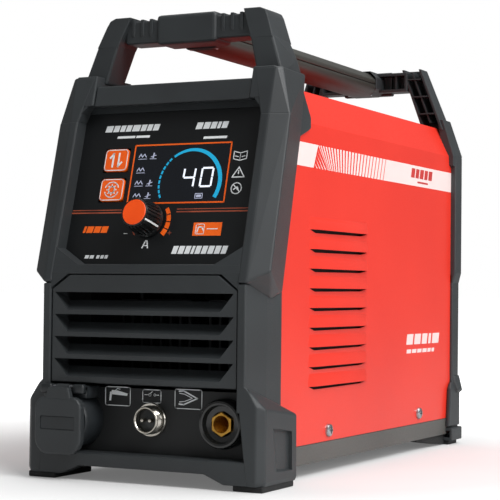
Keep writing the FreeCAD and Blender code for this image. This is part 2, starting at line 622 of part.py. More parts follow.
def rear_panel():
    plate = block("rp_plate", ("-column_in + 0.2", "rear_plate_y", "tray_low + 1.7"),
                  ("2 * column_in - 0.4", "sheet_thick", "crease_z - tray_low - 1.9"))
    tools = [rod("rp_fan", ("0", "rear_plate_y - 2", "fan_z"), "fan_bore", "6", "+y"),
             block("rp_switch", ("switch_x - 14.1", "rear_plate_y - 2", "switch_z - 10.6"), ("28.2", "6", "21.2")),
             rod("rp_gland", ("gland_x", "rear_plate_y - 2", "low_z"), "10", "6", "+y"),
             rod("rp_inlet", ("inlet_x", "rear_plate_y - 2", "low_z"), "6.5", "6", "+y"),
             rod("rp_stud", ("0", "rear_plate_y - 2", "low_z - 14"), "3", "6", "+y")]
    return node("rear_panel", cut("rp_cut", plate, join("rp_tools", tools)))


def fan():
    y = "rear_plate_y - fan_deep - 0.1"
    case = block("fn_case", ("-fan_half", y, "fan_z - fan_half"), ("2 * fan_half", "fan_deep", "2 * fan_half"))
    case = cut("fn_duct", case, rod("fn_bore", ("0", y + " - 1", "fan_z"), "fan_bore", "fan_deep + 2", "+y"))
    arms = [block("fn_arm_h", ("-fan_bore - 1", y, "fan_z - 2"), ("2 * fan_bore + 2", "2", "4")),
            block("fn_arm_v", ("-2", y, "fan_z - fan_bore - 1"), ("4", "2", "2 * fan_bore + 2")),
            rod("fn_boss", ("0", y, "fan_z"), "16", "3", "+y"),
            rod("fn_axle", ("0", y + " + 2", "fan_z"), "2", "18", "+y")]
    node("fan_housing", join("fn_all", [case] + arms))
    hub = rod("ro_hub", ("0", y + " + 3.6", "fan_z"), "17", "18", "+y")
    blades = []
    for i in range(7):
        blade = doc.addObject("Part::Box", f"ro_blade_{i}")
        bind(blade, Length="26", Width="15", Height="1.6")
        spoke = Rotation(Vector(0, 1, 0), 360.0 / 7 * i + 13)
        blade.Placement = Placement(Vector(0, 0, 0), spoke.multiply(Rotation(Vector(1, 0, 0), 32)))
        away = spoke.multVec(Vector(15, 0, 0))
        bind(blade, **{"Placement.Base.x": round(away.x, 4), "Placement.Base.y": y + " + 6.2",
                       "Placement.Base.z": f"fan_z + {round(away.z, 4)}"})
        blades.append(blade)
    rotor = cut("ro_cut", join("ro_all", [hub] + blades),
                rod("ro_bore", ("0", y + " + 2", "fan_z"), "2.05", "22", "+y"))
    node("fan_rotor", rotor)


def fan_guard():
    y = "rear_plate_y + sheet_thick + 1.1"
    rings = []
    for i, radius in enumerate((10, 18, 26, 34, 42)):
        ring = doc.addObject("Part::Torus", f"fg_ring_{i}")
        bind(ring, Radius1=radius, Radius2="1.0")
        place(ring, ("0", y, "fan_z"), TURNS["-y"])
        rings.append(ring)
    bars = [block("fg_h", ("-50", y + " + 0.4", "fan_z - 1"), ("100", "1.6", "2")),
            block("fg_v", ("-1", y + " + 0.4", "fan_z - 50"), ("2", "1.6", "100"))]
    return node("fan_guard", join("fg_all", rings + bars))


def fan_screws():
    pieces = []
    for i, (sx, sz) in enumerate(((-1, -1), (1, -1), (-1, 1), (1, 1))):
        x = f"{sx} * 41.25"
        z = f"fan_z + {sz} * 41.25"
        pieces.append(rod(f"fs_{i}", (x, "rear_plate_y + sheet_thick", z), "3.4", "2.2", "+y"))
    return node("fan_screws", group("fs_all", pieces))


def power_switch():
    body = join("ps_body", [
        block("ps_box", ("switch_x - 14", "rear_plate_y - 20", "switch_z - 10.5"), ("28", "21.3", "21")),
        block("ps_bezel", ("switch_x - 16", "rear_plate_y + sheet_thick", "switch_z - 12.5"),
              ("32", "2.5", "25"))])
    well = block("ps_well", ("switch_x - 13", "rear_plate_y - 9", "switch_z - 9"), ("26", "20", "18"))
    shell = cut("ps_cut", body, well)
    axle = rod("ps_axle", ("switch_x - 13.5", "rear_plate_y - 2", "switch_z"), "1.5", "27", "+x")
    node("power_switch_body", join("ps_all", [shell, axle]))
    rocker = profile("rk_body", "YZ_Plane",
                     [("rear_plate_y - 4.8", "switch_z - 3"), ("rear_plate_y + 1.5", "switch_z - 7.8"),
                      ("rear_plate_y + 3.6", "switch_z - 7.5"), ("rear_plate_y + 1.8", "switch_z + 0.1"),
                      ("rear_plate_y + 4.9", "switch_z + 7.5"), ("rear_plate_y + 2.6", "switch_z + 7.8"),
                      ("rear_plate_y - 4.8", "switch_z + 3")],
                     "switch_x - 12.5", "25")
    bore = rod("rk_bore", ("switch_x - 14", "rear_plate_y - 2", "switch_z"), "1.55", "28", "+x")
    node("power_rocker", cut("rk_cut", rocker, bore))


def cable_gland():
    gland = join("cg_all", [
        rod("cg_thread", ("gland_x", "rear_plate_y - 9", "low_z"), "9.9", "11", "+y"),
        rod("cg_collar", ("gland_x", "rear_plate_y + sheet_thick", "low_z"), "13", "4", "+y"),
        cone("cg_dome", ("gland_x", "rear_plate_y + sheet_thick + 4", "low_z"), ("11.5", "8"), "7.5", "+y")])
    node("cable_gland", cut("cg_cut", gland, rod("cg_bore", ("gland_x", "rear_plate_y - 10", "low_z"),
                                                 "5.5", "30", "+y")))
    nut = doc.addObject("Part::Prism", "cg_nut_hex")
    bind(nut, Polygon="6", Circumradius="14", Height="4")
    place(nut, ("gland_x", "rear_plate_y - 4.1", "low_z"), TURNS["+y"])
    node("cable_gland_nut", cut("cg_nut", nut, rod("cg_nut_bore", ("gland_x", "rear_plate_y - 5", "low_z"),
                                                   "9.95", "6", "+y")))


def air_inlet():
    """The barbed brass compressed-air tail, screwed into the solenoid valve behind the panel."""
    y = "rear_plate_y + sheet_thick"
    tail = join("ai_all", [
        rod("ai_shank", ("inlet_x", "rear_plate_y - 11.9", "low_z"), "6.4", "14", "+y"),
        rod("ai_hex", ("inlet_x", y, "low_z"), "8.5", "3", "+y"),
        rod("ai_stem", ("inlet_x", y + " + 2.9", "low_z"), "4", "9.7", "+y")])
    return node("air_inlet_tail", cut("ai_cut", tail, rod("ai_bore", ("inlet_x", "rear_plate_y - 13", "low_z"),
                                                          "2.5", "30", "+y")))


def earth_stud():
    stud = join("es_all", [
        rod("es_rod", ("0", "rear_plate_y - 6", "low_z - 14"), "2.5", "13.1", "+y"),
        rod("es_tip", ("0", "rear_plate_y + 7", "low_z - 14"), "2.95", "5", "+y"),
        rod("es_flange", ("0", "rear_plate_y + sheet_thick", "low_z - 14"), "6", "1.2", "+y")])
    node("earth_stud", stud)
    nut = doc.addObject("Part::Prism", "es_nut_hex")
    bind(nut, Polygon="6", Circumradius="5.8", Height="4.5")
    place(nut, ("0", "rear_plate_y + sheet_thick + 1.3", "low_z - 14"), TURNS["+y"])
    node("earth_nut", cut("es_nut", nut, rod("es_nut_bore", ("0", "rear_plate_y", "low_z - 14"), "2.55", "12", "+y")))


# ---- inside: gas, power and boards -----------------------------------------------------------
sizes(board_z=122, sink_low=52, tunnel_front=-95, tunnel_deep=150)


def elbow(name, centre, start):
    """A quarter turn of hose in the level plane, from its start angle."""
    bend = doc.addObject("Part::Torus", name)
    bind(bend, Radius1="hose_bend", Radius2="hose_r", Angle3="90")
    place(bend, centre, Rotation(Vector(0, 0, 1), start))
    return bend


sizes(hose_r=4, hose_bend=16, hose_z=33, hose_y=104)


def gas_parts():
    valve = join("sv_all", [
        block("sv_block", ("inlet_x - 11", "rear_plate_y - 36", "low_z - 14"), ("22", "24", "25")),
        block("sv_coil", ("inlet_x - 9", "rear_plate_y - 34", "low_z + 10.9"), ("18", "20", "18.6"))])
    node("solenoid_valve", valve)
    node("air_hose", join("ho_all", [
        rod("ho_side", ("inlet_x", "hose_y", "hose_z"), "hose_r", "rear_plate_y - 36 - hose_y", "+y"),
        elbow("ho_turn_a", ("inlet_x - hose_bend", "hose_y", "hose_z"), -90),
        rod("ho_cross", ("torch_x + hose_bend", "hose_y - hose_bend", "hose_z"), "hose_r",
            "inlet_x - torch_x - 2 * hose_bend", "+x"),
        elbow("ho_turn_b", ("torch_x + hose_bend", "hose_y - 2 * hose_bend", "hose_z"), 90),
        rod("ho_long", ("torch_x", "face_y + 27.1", "hose_z"), "hose_r",
            "hose_y - 2 * hose_bend - face_y - 27.1", "+y")]))


def heatsinks():
    for label, x in (("left_heatsink", "-54"), ("right_heatsink", "6")):
        fins = [block(f"{label}_fin_{i}", (x + f" + {i} * 6.6", "tunnel_front", "sink_low"),
                      ("1.6", "tunnel_deep", "44")) for i in range(8)]
        base = block(label + "_base", (x, "tunnel_front", "sink_low + 43.9"), ("47.8", "tunnel_deep", "6"))
        node(label, join(label + "_all", fins + [base]))


def main_board():
    board = block("mb_board", ("-58", "tunnel_front - 12", "board_z"), ("116", "tunnel_deep + 40", "1.6"))
    node("main_board", board)
    posts = [rod(f"mp_{i}", (x, y, "sink_low + 49.9"), "3", "board_z - sink_low - 49.9", "+z")
             for i, (x, y) in enumerate([(x, y) for x in ("-46", "46")
                                         for y in ("tunnel_front + 10", "tunnel_front + tunnel_deep - 10")])]
    node("board_posts", group("mp_all", posts))


def power_devices():
    chips = [block(f"pd_{i}", (x, f"tunnel_front + 20 + {j} * 26", "sink_low + 49.95"), ("16", "20", "5"))
             for i, (x, j) in enumerate([(x, j) for x in ("-38", "14") for j in range(5)])]
    node("power_transistors", group("pd_all", chips))
    cans = [rod(f"ca_{i}", (x, y, "board_z + 1.6"), "15", "46", "+z")
            for i, (x, y) in enumerate([(x, y) for x in ("-34", "0") for y in ("tunnel_front + 70",
                                                                               "tunnel_front + 104")])]
    node("filter_capacitors", group("ca_all", cans))
    core = block("tr_core", ("-26", "tunnel_front + 2", "board_z + 1.7"), ("52", "40", "42"))
    windows = [block("tr_window_" + tag, (x, "tunnel_front - 1", "board_z + 12"), ("12", "50", "22"))
               for tag, x in (("l", "-19"), ("r", "7"))]
    node("transformer_core", cut("tr_cut", core, join("tr_windows", windows)))
    coil = block("tr_coil", ("-18.9", "tunnel_front - 4", "board_z + 12.2"), ("37.8", "52", "21.6"))
    leg = block("tr_leg", ("-7.05", "tunnel_front + 1.9", "board_z + 10"), ("14.1", "40.2", "30"))
    node("transformer_winding", cut("tr_coil_cut", coil, leg))
    relay = block("rl_box", ("22", "tunnel_front + 60", "board_z + 1.7"), ("28", "22", "26"))
    node("precharge_relay", relay)


def output_choke():
    ring = doc.addObject("Part::Torus", "ch_ring")
    bind(ring, Radius1="17", Radius2="9")
    place(ring, ("0", "tunnel_front + 30", "tray_low + 11"))
    node("output_choke", ring)


front_frame()
rear_frame()
carry_handle()
cover()
cover_screws()
chassis_tray()
rubber_feet()
front_grille()
connector_plate()
torch_socket()
torch_flap()
flap_pin()
flap_spring()
torch_connector()
torch_signal_pins()
control_socket()
clamp_socket()
control_panel()
display()
buttons()
tact_switches()
knob()
potentiometer()
control_board()
board_spacers()
rear_panel()
fan()
fan_guard()
fan_screws()
power_switch()
cable_gland()
air_inlet()
earth_stud()
gas_parts()
heatsinks()
main_board()
power_devices()
output_choke()

doc.recompute()
for thing in doc.Objects:
    if "Invalid" in thing.State or "Error" in thing.State:
        raise RuntimeError(f"{thing.Name}: {thing.State}")
os.makedirs("parts", exist_ok=True)
for thing in nodes:
    if thing.Shape.isNull() or not thing.Shape.isValid():
        raise RuntimeError(f"{thing.Label}: bad shape")
    thing.Shape.exportStep(f"parts/{thing.Label}.step")
    print(thing.Label, len(thing.Shape.Solids), round(thing.Shape.Volume / 1000, 2))
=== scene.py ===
"""The looks of a portable inverter plasma cutter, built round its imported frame.

Sizes are in millimetres in the frame's own axes: +Z up, the front faces -Y. `Y0` is the plane of
the grille, and depths are measured back from it.
"""
import math

import bmesh
import bpy
from mathutils import Euler, Matrix, Vector


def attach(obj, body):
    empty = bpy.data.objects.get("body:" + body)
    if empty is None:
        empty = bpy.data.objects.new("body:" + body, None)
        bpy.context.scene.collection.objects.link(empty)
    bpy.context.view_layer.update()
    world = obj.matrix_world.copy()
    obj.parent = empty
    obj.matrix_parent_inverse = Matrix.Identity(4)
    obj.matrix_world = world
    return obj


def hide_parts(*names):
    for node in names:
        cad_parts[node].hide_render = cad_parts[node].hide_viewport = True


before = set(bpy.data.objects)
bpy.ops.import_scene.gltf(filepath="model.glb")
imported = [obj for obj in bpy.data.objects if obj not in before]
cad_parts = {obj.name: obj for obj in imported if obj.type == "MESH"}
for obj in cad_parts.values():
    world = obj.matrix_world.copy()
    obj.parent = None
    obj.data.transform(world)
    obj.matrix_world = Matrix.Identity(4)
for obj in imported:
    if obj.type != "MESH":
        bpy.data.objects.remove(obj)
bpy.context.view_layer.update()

# ---- camera ----------------------------------------------------------------------------------
# A long lens at the height of the sockets, round to the right of the front.
camera = bpy.data.objects.new("camera", bpy.data.cameras.new("camera"))
bpy.context.scene.collection.objects.link(camera)
bpy.context.scene.camera = camera
camera.data.lens = 112.78
turn, rise, roll = math.radians(27.14), math.radians(1.54), math.radians(0.617)
ahead = Vector((-math.sin(turn) * math.cos(rise), math.cos(turn) * math.cos(rise), math.sin(rise)))
level = Vector((math.cos(turn), math.sin(turn), 0))
lifted = level.cross(ahead)
right = level * math.cos(roll) + lifted * math.sin(roll)
above = lifted * math.cos(roll) - level * math.sin(roll)
seat = Vector((0.4485, -0.9064, 0.1069))
camera.matrix_world = Matrix.Translation(seat) @ Matrix((right, above, -ahead)).transposed().to_4x4()


# ---- studio ----------------------------------------------------------------------------------
# A white paper floor under a white sky, soft boxes high on the right and overhead, and a low fill.
def linear(colour):
    """A hex colour in the linear values that a shader takes."""
    parts = [int(colour[i:i + 2], 16) / 255 for i in (1, 3, 5)]
    return [p / 12.92 if p <= 0.04045 else ((p + 0.055) / 1.055) ** 2.4 for p in parts] + [1.0]


def add(material, kind, inputs, **settings):
    """Adds one shader node; an input is a value, or a (node, output) pair to link from."""
    made = material.node_tree.nodes.new("ShaderNode" + kind)
    for key, value in settings.items():
        setattr(made, key, value)
    for key, value in inputs.items():
        if isinstance(value, tuple) and isinstance(value[0], bpy.types.Node):
            material.node_tree.links.new(value[0].outputs[value[1]], made.inputs[key])
        else:
            made.inputs[key].default_value = value
    return made


def finish(name, light, dark, drift, rough, grain, depth, stretch=(1, 1, 1), **shell):
    """A material whose colour drifts between two shades, with a fine relief.

    The drift is `drift` mm across, the relief's grain `grain` mm wide and `depth` mm deep.
    """
    material = bpy.data.materials.new(name)
    material.use_nodes = True
    material.node_tree.nodes.clear()
    place = add(material, "TexCoord", {})
    laid = add(material, "Mapping", {"Vector": (place, "Object"), "Scale": stretch})
    cloud = add(material, "TexNoise", {"Vector": (laid, "Vector"), "Scale": 1000 / drift, "Detail": 3.0})
    shade = add(material, "ValToRGB", {"Fac": (cloud, "Fac")})
    for stop, spot, colour in zip(shade.color_ramp.elements, (0.35, 0.65), (dark, light)):
        stop.position = spot
        stop.color = linear(colour)
    fine = add(material, "TexNoise", {"Vector": (laid, "Vector"), "Scale": 1000 / grain, "Detail": 2.0})
    sheen = add(material, "MapRange", {"Value": (fine, "Fac"), "From Min": 0.3, "From Max": 0.7,
                                       "To Min": rough[0], "To Max": rough[1]})
    relief = add(material, "Bump", {"Height": (fine, "Fac"), "Strength": 0.6, "Distance": depth / 1000})
    body = add(material, "BsdfPrincipled", {"Base Color": (shade, "Color"), "Roughness": (sheen, "Result"),
                                            "Normal": (relief, "Normal"), **shell})
    add(material, "OutputMaterial", {"Surface": (body, "BSDF")})
    return material


def lamp(name, spot, aim, size, power, colour="#ffffff"):
    """A square soft box, in metres and watts."""
    light = bpy.data.lights.new(name, "AREA")
    light.size, light.energy = size, power
    light.color = linear(colour)[:3]
    thing = bpy.data.objects.new(name, light)
    bpy.context.scene.collection.objects.link(thing)
    thing.location = spot
    thing.rotation_euler = (Vector(aim) - Vector(spot)).to_track_quat("-Z", "Y").to_euler()


lamp("key_box", (1.3, -0.75, 1.7), (0, 0, 0.12), 0.9, 32)
lamp("side_box", (1.9, -0.2, 0.9), (0, 0, 0.1), 1.3, 17)
lamp("front_fill", (0.9, -1.8, 0.3), (0, 0, 0.12), 0.9, 1.8)
lamp("top_box", (0.1, 0.3, 1.7), (0, 0, 0), 1.4, 14)
# The sky is pure white to look at, and gives a weaker light.
sky = bpy.data.worlds.new("white_sky")
sky.use_nodes = True
strength = add(sky, "MapRange", {"Value": (add(sky, "LightPath", {}), "Is Camera Ray"),
                                 "To Min": 0.22, "To Max": 1.0})
sky.node_tree.links.new(strength.outputs["Result"], sky.node_tree.nodes["Background"].inputs["Strength"])
sky.node_tree.nodes["Background"].inputs["Color"].default_value = linear("#ffffff")
bpy.context.scene.world = sky
bpy.context.scene.view_settings.view_transform = "Standard"

# Matt paper that glows with painted light to the camera alone. The glow is weaker towards the machine, so a
# painted shadow lies round its foot.
paper = finish("paper_matt_white", "#d6d6d6", "#d0d0d0", 300, (0.85, 0.95), 1.5, 0.02,
               **{"Emission Color": linear("#ffffff")})
reach = add(paper, "VectorMath", {"Vector": (add(paper, "TexCoord", {}), "Object")}, operation="LENGTH")
painted_floor_light = add(paper, "MapRange", {"Value": (reach, "Value"), "From Min": 0.17, "From Max": 0.6, "To Min": 0.14,
                               "To Max": 0.95})
painted_light_to_camera = add(paper, "Math", {0: (painted_floor_light, "Result"), 1: (add(paper, "LightPath", {}), "Is Camera Ray")},
            operation="MULTIPLY")
paper_surface = next(n for n in paper.node_tree.nodes if n.type == "BSDF_PRINCIPLED")
paper.node_tree.links.new(painted_light_to_camera.outputs["Value"], paper_surface.inputs["Emission Strength"])
floor_mesh = bpy.data.meshes.new("floor")
WIDE = 40
floor_mesh.from_pydata([(-WIDE, -WIDE, 0), (WIDE, -WIDE, 0), (WIDE, WIDE, 0), (-WIDE, WIDE, 0)], [],
                       [(0, 1, 2, 3)])
floor_mesh.materials.append(paper)
floor = bpy.data.objects.new("floor", floor_mesh)
bpy.context.scene.collection.objects.link(floor)

# ---- front frame -----------------------------------------------------------------------------
# One injection-moulded ABS frame: boots, grille surround, leaning cheeks and the front hand loop.
# Every block of it is flat-faced with eased edges, and the whole is screwed to the tray.
MM = 0.001
Y0 = -163.0
LEAN = math.tan(math.radians(15))
LEAN_FROM = 112.0


def at(x, deep, z):
    """A point that many mm behind the front line, which leans back above LEAN_FROM."""
    return Vector((x, Y0 + deep + max(0.0, z - LEAN_FROM) * LEAN, z))


def level_ring(z, *corners):
    """Corners (across, deep) all at one height."""
    return [at(x, deep, z) for x, deep in corners]


def hull(corners):
    """The flat-faced block whose corners these are."""
    shape = bmesh.new()
    for corner in corners:
        shape.verts.new(corner)
    found = bmesh.ops.convex_hull(shape, input=shape.verts)
    spare = {v for v in found["geom_interior"] + found["geom_unused"] if isinstance(v, bmesh.types.BMVert)}
    bmesh.ops.delete(shape, geom=list(spare), context="VERTS")
    bmesh.ops.dissolve_limit(shape, angle_limit=0.01, verts=shape.verts, edges=shape.edges)
    return shape


def block(low, high):
    """A box between two corners."""
    return hull([(x, y, z) for x in (low[0], high[0]) for y in (low[1], high[1]) for z in (low[2], high[2])])


def ease(shape, width, steps=2, over=20):
    """Rounds every edge that turns by more than `over` degrees."""
    sharp = [e for e in shape.edges if e.is_manifold and e.calc_face_angle(0) > math.radians(over)]
    bmesh.ops.bevel(shape, geom=sharp, offset=width, segments=steps, profile=0.5, affect="EDGES",
                    clamp_overlap=True)
    return shape


def moved(shape, matrix):
    """The shape after a move; a mirrored one has its faces turned out again."""
    bmesh.ops.transform(shape, matrix=matrix, verts=shape.verts)
    if matrix.determinant() < 0:
        bmesh.ops.reverse_faces(shape, faces=shape.faces)
    return shape


def with_mirror(shapes):
    """The shapes of the right half and their mirror images."""
    return shapes + [moved(shape.copy(), Matrix.Diagonal((-1, 1, 1, 1))) for shape in shapes]


def prism(outline, front, deep):
    """An outline in (x, z) pushed back along y."""
    shape = bmesh.new()
    first = [shape.verts.new((x, front, z)) for x, z in outline]
    last = [shape.verts.new((x, front + deep, z)) for x, z in outline]
    shape.faces.new(first)
    shape.faces.new(reversed(last))
    for i in range(len(outline)):
        j = (i + 1) % len(outline)
        shape.faces.new((first[i], last[i], last[j], first[j]))
    bmesh.ops.recalc_face_normals(shape, faces=shape.faces)
    return shape


def link_mesh(name, shape, scale=MM):
    """An object at the origin with the shape, in metres, as its mesh."""
    mesh = bpy.data.meshes.new(name)
    shape.to_mesh(mesh)
    mesh.transform(Matrix.Scale(scale, 4))
    thing = bpy.data.objects.new(name, mesh)
    bpy.context.scene.collection.objects.link(thing)
    return thing


def plain_copy(thing, name):
    """The object's finished mesh as a plain one, with its modifiers used up."""
    ready = thing.evaluated_get(bpy.context.evaluated_depsgraph_get())
    mesh = bpy.data.meshes.new_from_object(ready)
    mesh.name = name
    return mesh


def carved(shape, *cutters):
    """The shape with other shapes cut out of it."""
    whole = bmesh.new()
    for cutter in cutters:
        scratch = bpy.data.meshes.new("scratch")
        cutter.to_mesh(scratch)
        whole.from_mesh(scratch)
    body, tool = link_mesh("carved_body", shape, 1), link_mesh("carved_tool", whole, 1)
    knife = body.modifiers.new("knife", "BOOLEAN")
    knife.operation, knife.solver, knife.object = "DIFFERENCE", "EXACT", tool
    result = bmesh.new()
    result.from_mesh(plain_copy(body, "carved"))
    bpy.data.objects.remove(body)
    bpy.data.objects.remove(tool)
    bmesh.ops.dissolve_limit(result, angle_limit=0.002, verts=result.verts, edges=result.edges)
    return result


def settle(thing, material, body="case", nodes=(), slot=None, smooth=0):
    """Gives a piece its material, the body that it moves with and the nodes that it stands for."""
    thing.data.materials.clear()
    thing.data.materials.append(material)
    if smooth:
        thing.data.polygons.foreach_set("use_smooth", [True] * len(thing.data.polygons))
        thing.data.set_sharp_from_angle(angle=math.radians(smooth))
    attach(thing, body)
    if nodes:
        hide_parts(*nodes)
    return thing


def piece(name, shapes, material, body="case", nodes=(), slot=None, smooth=0):
    """One named piece from its shapes in mm."""
    whole = bmesh.new()
    for shape in shapes:
        scratch = bpy.data.meshes.new("scratch")
        shape.to_mesh(scratch)
        whole.from_mesh(scratch)
        shape.free()
    return settle(link_mesh(name, whole), material, body, nodes, slot, smooth)


def boot(inner, low_edge=3):
    """A corner boot, chamfered at its outer front edge, with a top that falls away to the back.

    A shallow pocket is moulded into its side.
    """
    outer = hull(level_ring(low_edge, (inner, 0.8), (71.4, 0.8), (75.2, 4.6), (75.2, 43), (inner, 43))
                 + level_ring(low_edge + 2.5, (inner, 0), (72, 0), (76, 4), (76, 43), (inner, 43))
                 + level_ring(46, (inner, 0), (72, 0)) + level_ring(39.5, (76, 10), (76, 42.5), (inner, 43))
                 + level_ring(56.5, (60, 0), (65.4, 0)) + level_ring(49.5, (66.2, 21))
                 + level_ring(43.4, (66.2, 43), (60, 43)) + level_ring(44.4, (76, 4)))
    pocket = hull([(x, Y0 + deep, z) for x, deep, z in (
        (78, 6, 36), (78, 12, 9.4), (78, 37, 9), (78, 36.6, 31.2), (74, 22, 11), (74, 18, 31.6),
        (74, 36.6, 10), (74, 36.2, 30))])
    return carved(ease(outer, 0.9), pocket)


COLUMN = ((60, 0.05), (65, 0), (66.5, 23), (66, 43), (60, 43))
frame_side = [
    boot(66),
    ease(hull(level_ring(42, *COLUMN) + level_ring(111, *COLUMN)), 0.8),
    # The cheek swells to its widest just behind the front edge, over a slanted underside.
    ease(hull(level_ring(LEAN_FROM, (60, 0), (65, 0)) + level_ring(118, (76, 6.5))
              + level_ring(107, (69, 32), (66, 43), (60, 43)) + level_ring(103, (66.5, 27))
              + level_ring(206, (60, 0), (65, 0), (76, 5.6), (66, 42), (60, 42))), 0.9),
    ease(hull(level_ring(205, (60, 0.1), (65, 0.1), (75.9, 5.7), (66, 42), (60, 42))
              + level_ring(232.4, (52, 0.1), (66, 0.1), (69, 3.2), (66, 38), (52, 38))), 0.9),
    ease(hull(level_ring(214.8, (51.4, 0.2), (64, 0.2), (64, 38), (51.4, 38))
              + level_ring(233, (51.4, 0.2), (65.2, 0.2), (65, 39), (51.4, 39))), 0.7),
    # The tooth behind the shoulder laps over the cover.
    ease(hull([(x, Y0 + deep, z) for x, deep, z in (
        (65.8, 58, 194), (65.8, 65, 196), (65.8, 74, 199.4), (65.8, 80, 202), (65.8, 80, 208.5),
        (65, 63.5, 233), (63.5, 52, 233), (58, 58, 194), (58, 65, 196), (58, 74, 199.4), (58, 80, 202),
        (58, 80, 208.5), (55, 63.5, 233), (55, 52, 233))]), 1.0),
    # The posts of the hand loop lean inwards and back, and their tops are rounded over.
    ease(hull([(x, Y0 + deep, z) for x, deep, z in (
        (50, 40.5, 229), (65.8, 40.8, 229), (66.5, 66.3, 229), (50.6, 60.6, 229), (47.3, 62.4, 242),
        (65, 61.5, 239.4), (43.6, 43.2, 253), (57.6, 43.4, 253), (59.6, 63.6, 250), (44, 65, 253))]), 1.1),
    ease(hull([(x, Y0 + deep, z) for x, deep, z in (
        (44.2, 42.9, 251), (58.3, 42.9, 251), (60, 64.4, 249), (44.6, 64.6, 251),
        (53.6, 45.5, 263.5), (54, 66.4, 264.5), (51.6, 46.3, 267.4), (52, 67.6, 267.4),
        (48.2, 46.6, 269), (48.6, 67.8, 269), (37.6, 46.6, 269), (37.6, 67.8, 269))]), 1.1),
    # Webs in the corners of the panel opening and of the grille opening.
    hull([at(x, deep, z) for deep in (0.35, 9) for x, z in ((60.5, 121), (43, 121), (60.5, 131.5))]),
    hull([at(x, deep, z) for deep in (0.35, 9) for x, z in ((60.5, 108), (48.5, 117), (60.5, 117))]),
    hull([at(x, deep, z) for deep in (0.6, 9) for x, z in ((60.5, 208), (60.5, 215.5), (54, 215.5))]),
]
frame_middle = [
    ease(block((-42, Y0 + 48, 253), (42, Y0 + 65, 266.6)), 1.6, 3),
    ease(block((-20, Y0 + 46.4, 251.4), (20, Y0 + 67.5, 269)), 2.4, 3),
    ease(hull([at(x, deep, z) for x in (-51, 51) for deep, z in
               ((1.4, 214.5), (1.4, 226.4), (12, 214.5), (14, 228.2))]), 0.7),
    ease(hull([at(x, deep, z) for x in (-60.6, 60.6) for deep, z in
               ((0.3, 116.2), (0.3, 121.8), (10, 116.2), (10, 121.8))]), 0.6),
    ease(hull([at(x, deep, z) for x in (-64.5, 64.5) for deep, z in (
        (9.8, 54.4), (9.8, 56), (16, 53.4), (16, 56))]), 0.4),
    # Lips behind the top edges of the panel and of the grille shut off the gaps there.
    hull([at(x, deep, z) for x in (-60.6, 60.6) for deep in (9.3, 13.5) for z in (210.8, 217)]),
    hull([at(x, deep, z) for x in (-60.6, 60.6) for deep in (9.9, 12) for z in (112, 120)]),
    ease(prism([(-66.5, 16), (66.5, 16), (66.5, 3.2), (52, 3.2), (40, 8.3), (-40, 8.3), (-52, 3.2),
                (-66.5, 3.2)], Y0 + 0.3, 12.7), 0.8),
    block((-57, Y0 + 40, 223), (57, Y0 + 73, 226)),
]
# Charcoal ABS straight from a spark-eroded mould: even, fine-grained, only softly shiny.
abs_charcoal = finish("abs_moulded_charcoal", "#303436", "#292c2e", 60, (0.42, 0.56), 0.45, 0.035, IOR=1.5)
piece("front_frame_moulding", with_mirror(frame_side) + frame_middle, abs_charcoal,
      nodes=["front_frame"], slot="frame_plastic")


def row(name, unit, count, material, step=(0, 0, 0), spin=(0, 0, 0), place=(0, 0, 0), tilt=(0, 0, 0),
        **settled):
    """Copies of a unit shape, each a step and a spin (degrees) on from the last, as one piece."""
    tree = bpy.data.node_groups.get("row_of_pieces")
    if tree is None:
        tree = bpy.data.node_groups.new("row_of_pieces", "GeometryNodeTree")
        face = tree.interface
        face.new_socket("Geometry", in_out="OUTPUT", socket_type="NodeSocketGeometry")
        face.new_socket("Unit", in_out="INPUT", socket_type="NodeSocketGeometry")
        face.new_socket("Count", in_out="INPUT", socket_type="NodeSocketInt")
        for label in ("Step", "Spin", "Place", "Tilt"):
            face.new_socket(label, in_out="INPUT", socket_type="NodeSocketVector")
        face.new_socket("Finish", in_out="INPUT", socket_type="NodeSocketMaterial")
        new = tree.nodes.new
        given, given_out = new("NodeGroupInput"), new("NodeGroupOutput")
        line, copies = new("GeometryNodeMeshLine"), new("GeometryNodeInstanceOnPoints")
        index, turn_by = new("GeometryNodeInputIndex"), new("ShaderNodeVectorMath")
        real = new("GeometryNodeRealizeInstances")
        shift, coat = new("GeometryNodeTransform"), new("GeometryNodeSetMaterial")
        turn_by.operation = "SCALE"
        for source, output, sink, entry in (
                (given, "Count", line, "Count"), (given, "Step", line, "Offset"),
                (line, "Mesh", copies, "Points"), (given, "Unit", copies, "Instance"),
                (given, "Spin", turn_by, 0), (index, "Index", turn_by, "Scale"),
                (turn_by, "Vector", copies, "Rotation"), (copies, "Instances", real, "Geometry"),
                (real, "Geometry", shift, "Geometry"), (given, "Place", shift, "Translation"),
                (given, "Tilt", shift, "Rotation"), (shift, "Geometry", coat, "Geometry"),
                (given, "Finish", coat, "Material"), (coat, "Geometry", given_out, "Geometry")):
            tree.links.new(source.outputs[output], sink.inputs[entry])
    thing = link_mesh(name, unit)
    lay = thing.modifiers.new("row", "NODES")
    lay.node_group = tree
    sockets = {item.name: item.identifier for item in tree.interface.items_tree if item.in_out == "INPUT"}
    lay[sockets["Count"]] = count
    lay[sockets["Finish"]] = material
    for label, values, scale in (("Step", step, MM), ("Spin", spin, math.pi / 180), ("Place", place, MM),
                                 ("Tilt", tilt, math.pi / 180)):
        lay[sockets[label]] = [v * scale for v in values]
    mesh = plain_copy(thing, name)
    thing.modifiers.remove(lay)
    thing.data = mesh
    return settle(thing, material, **settled)


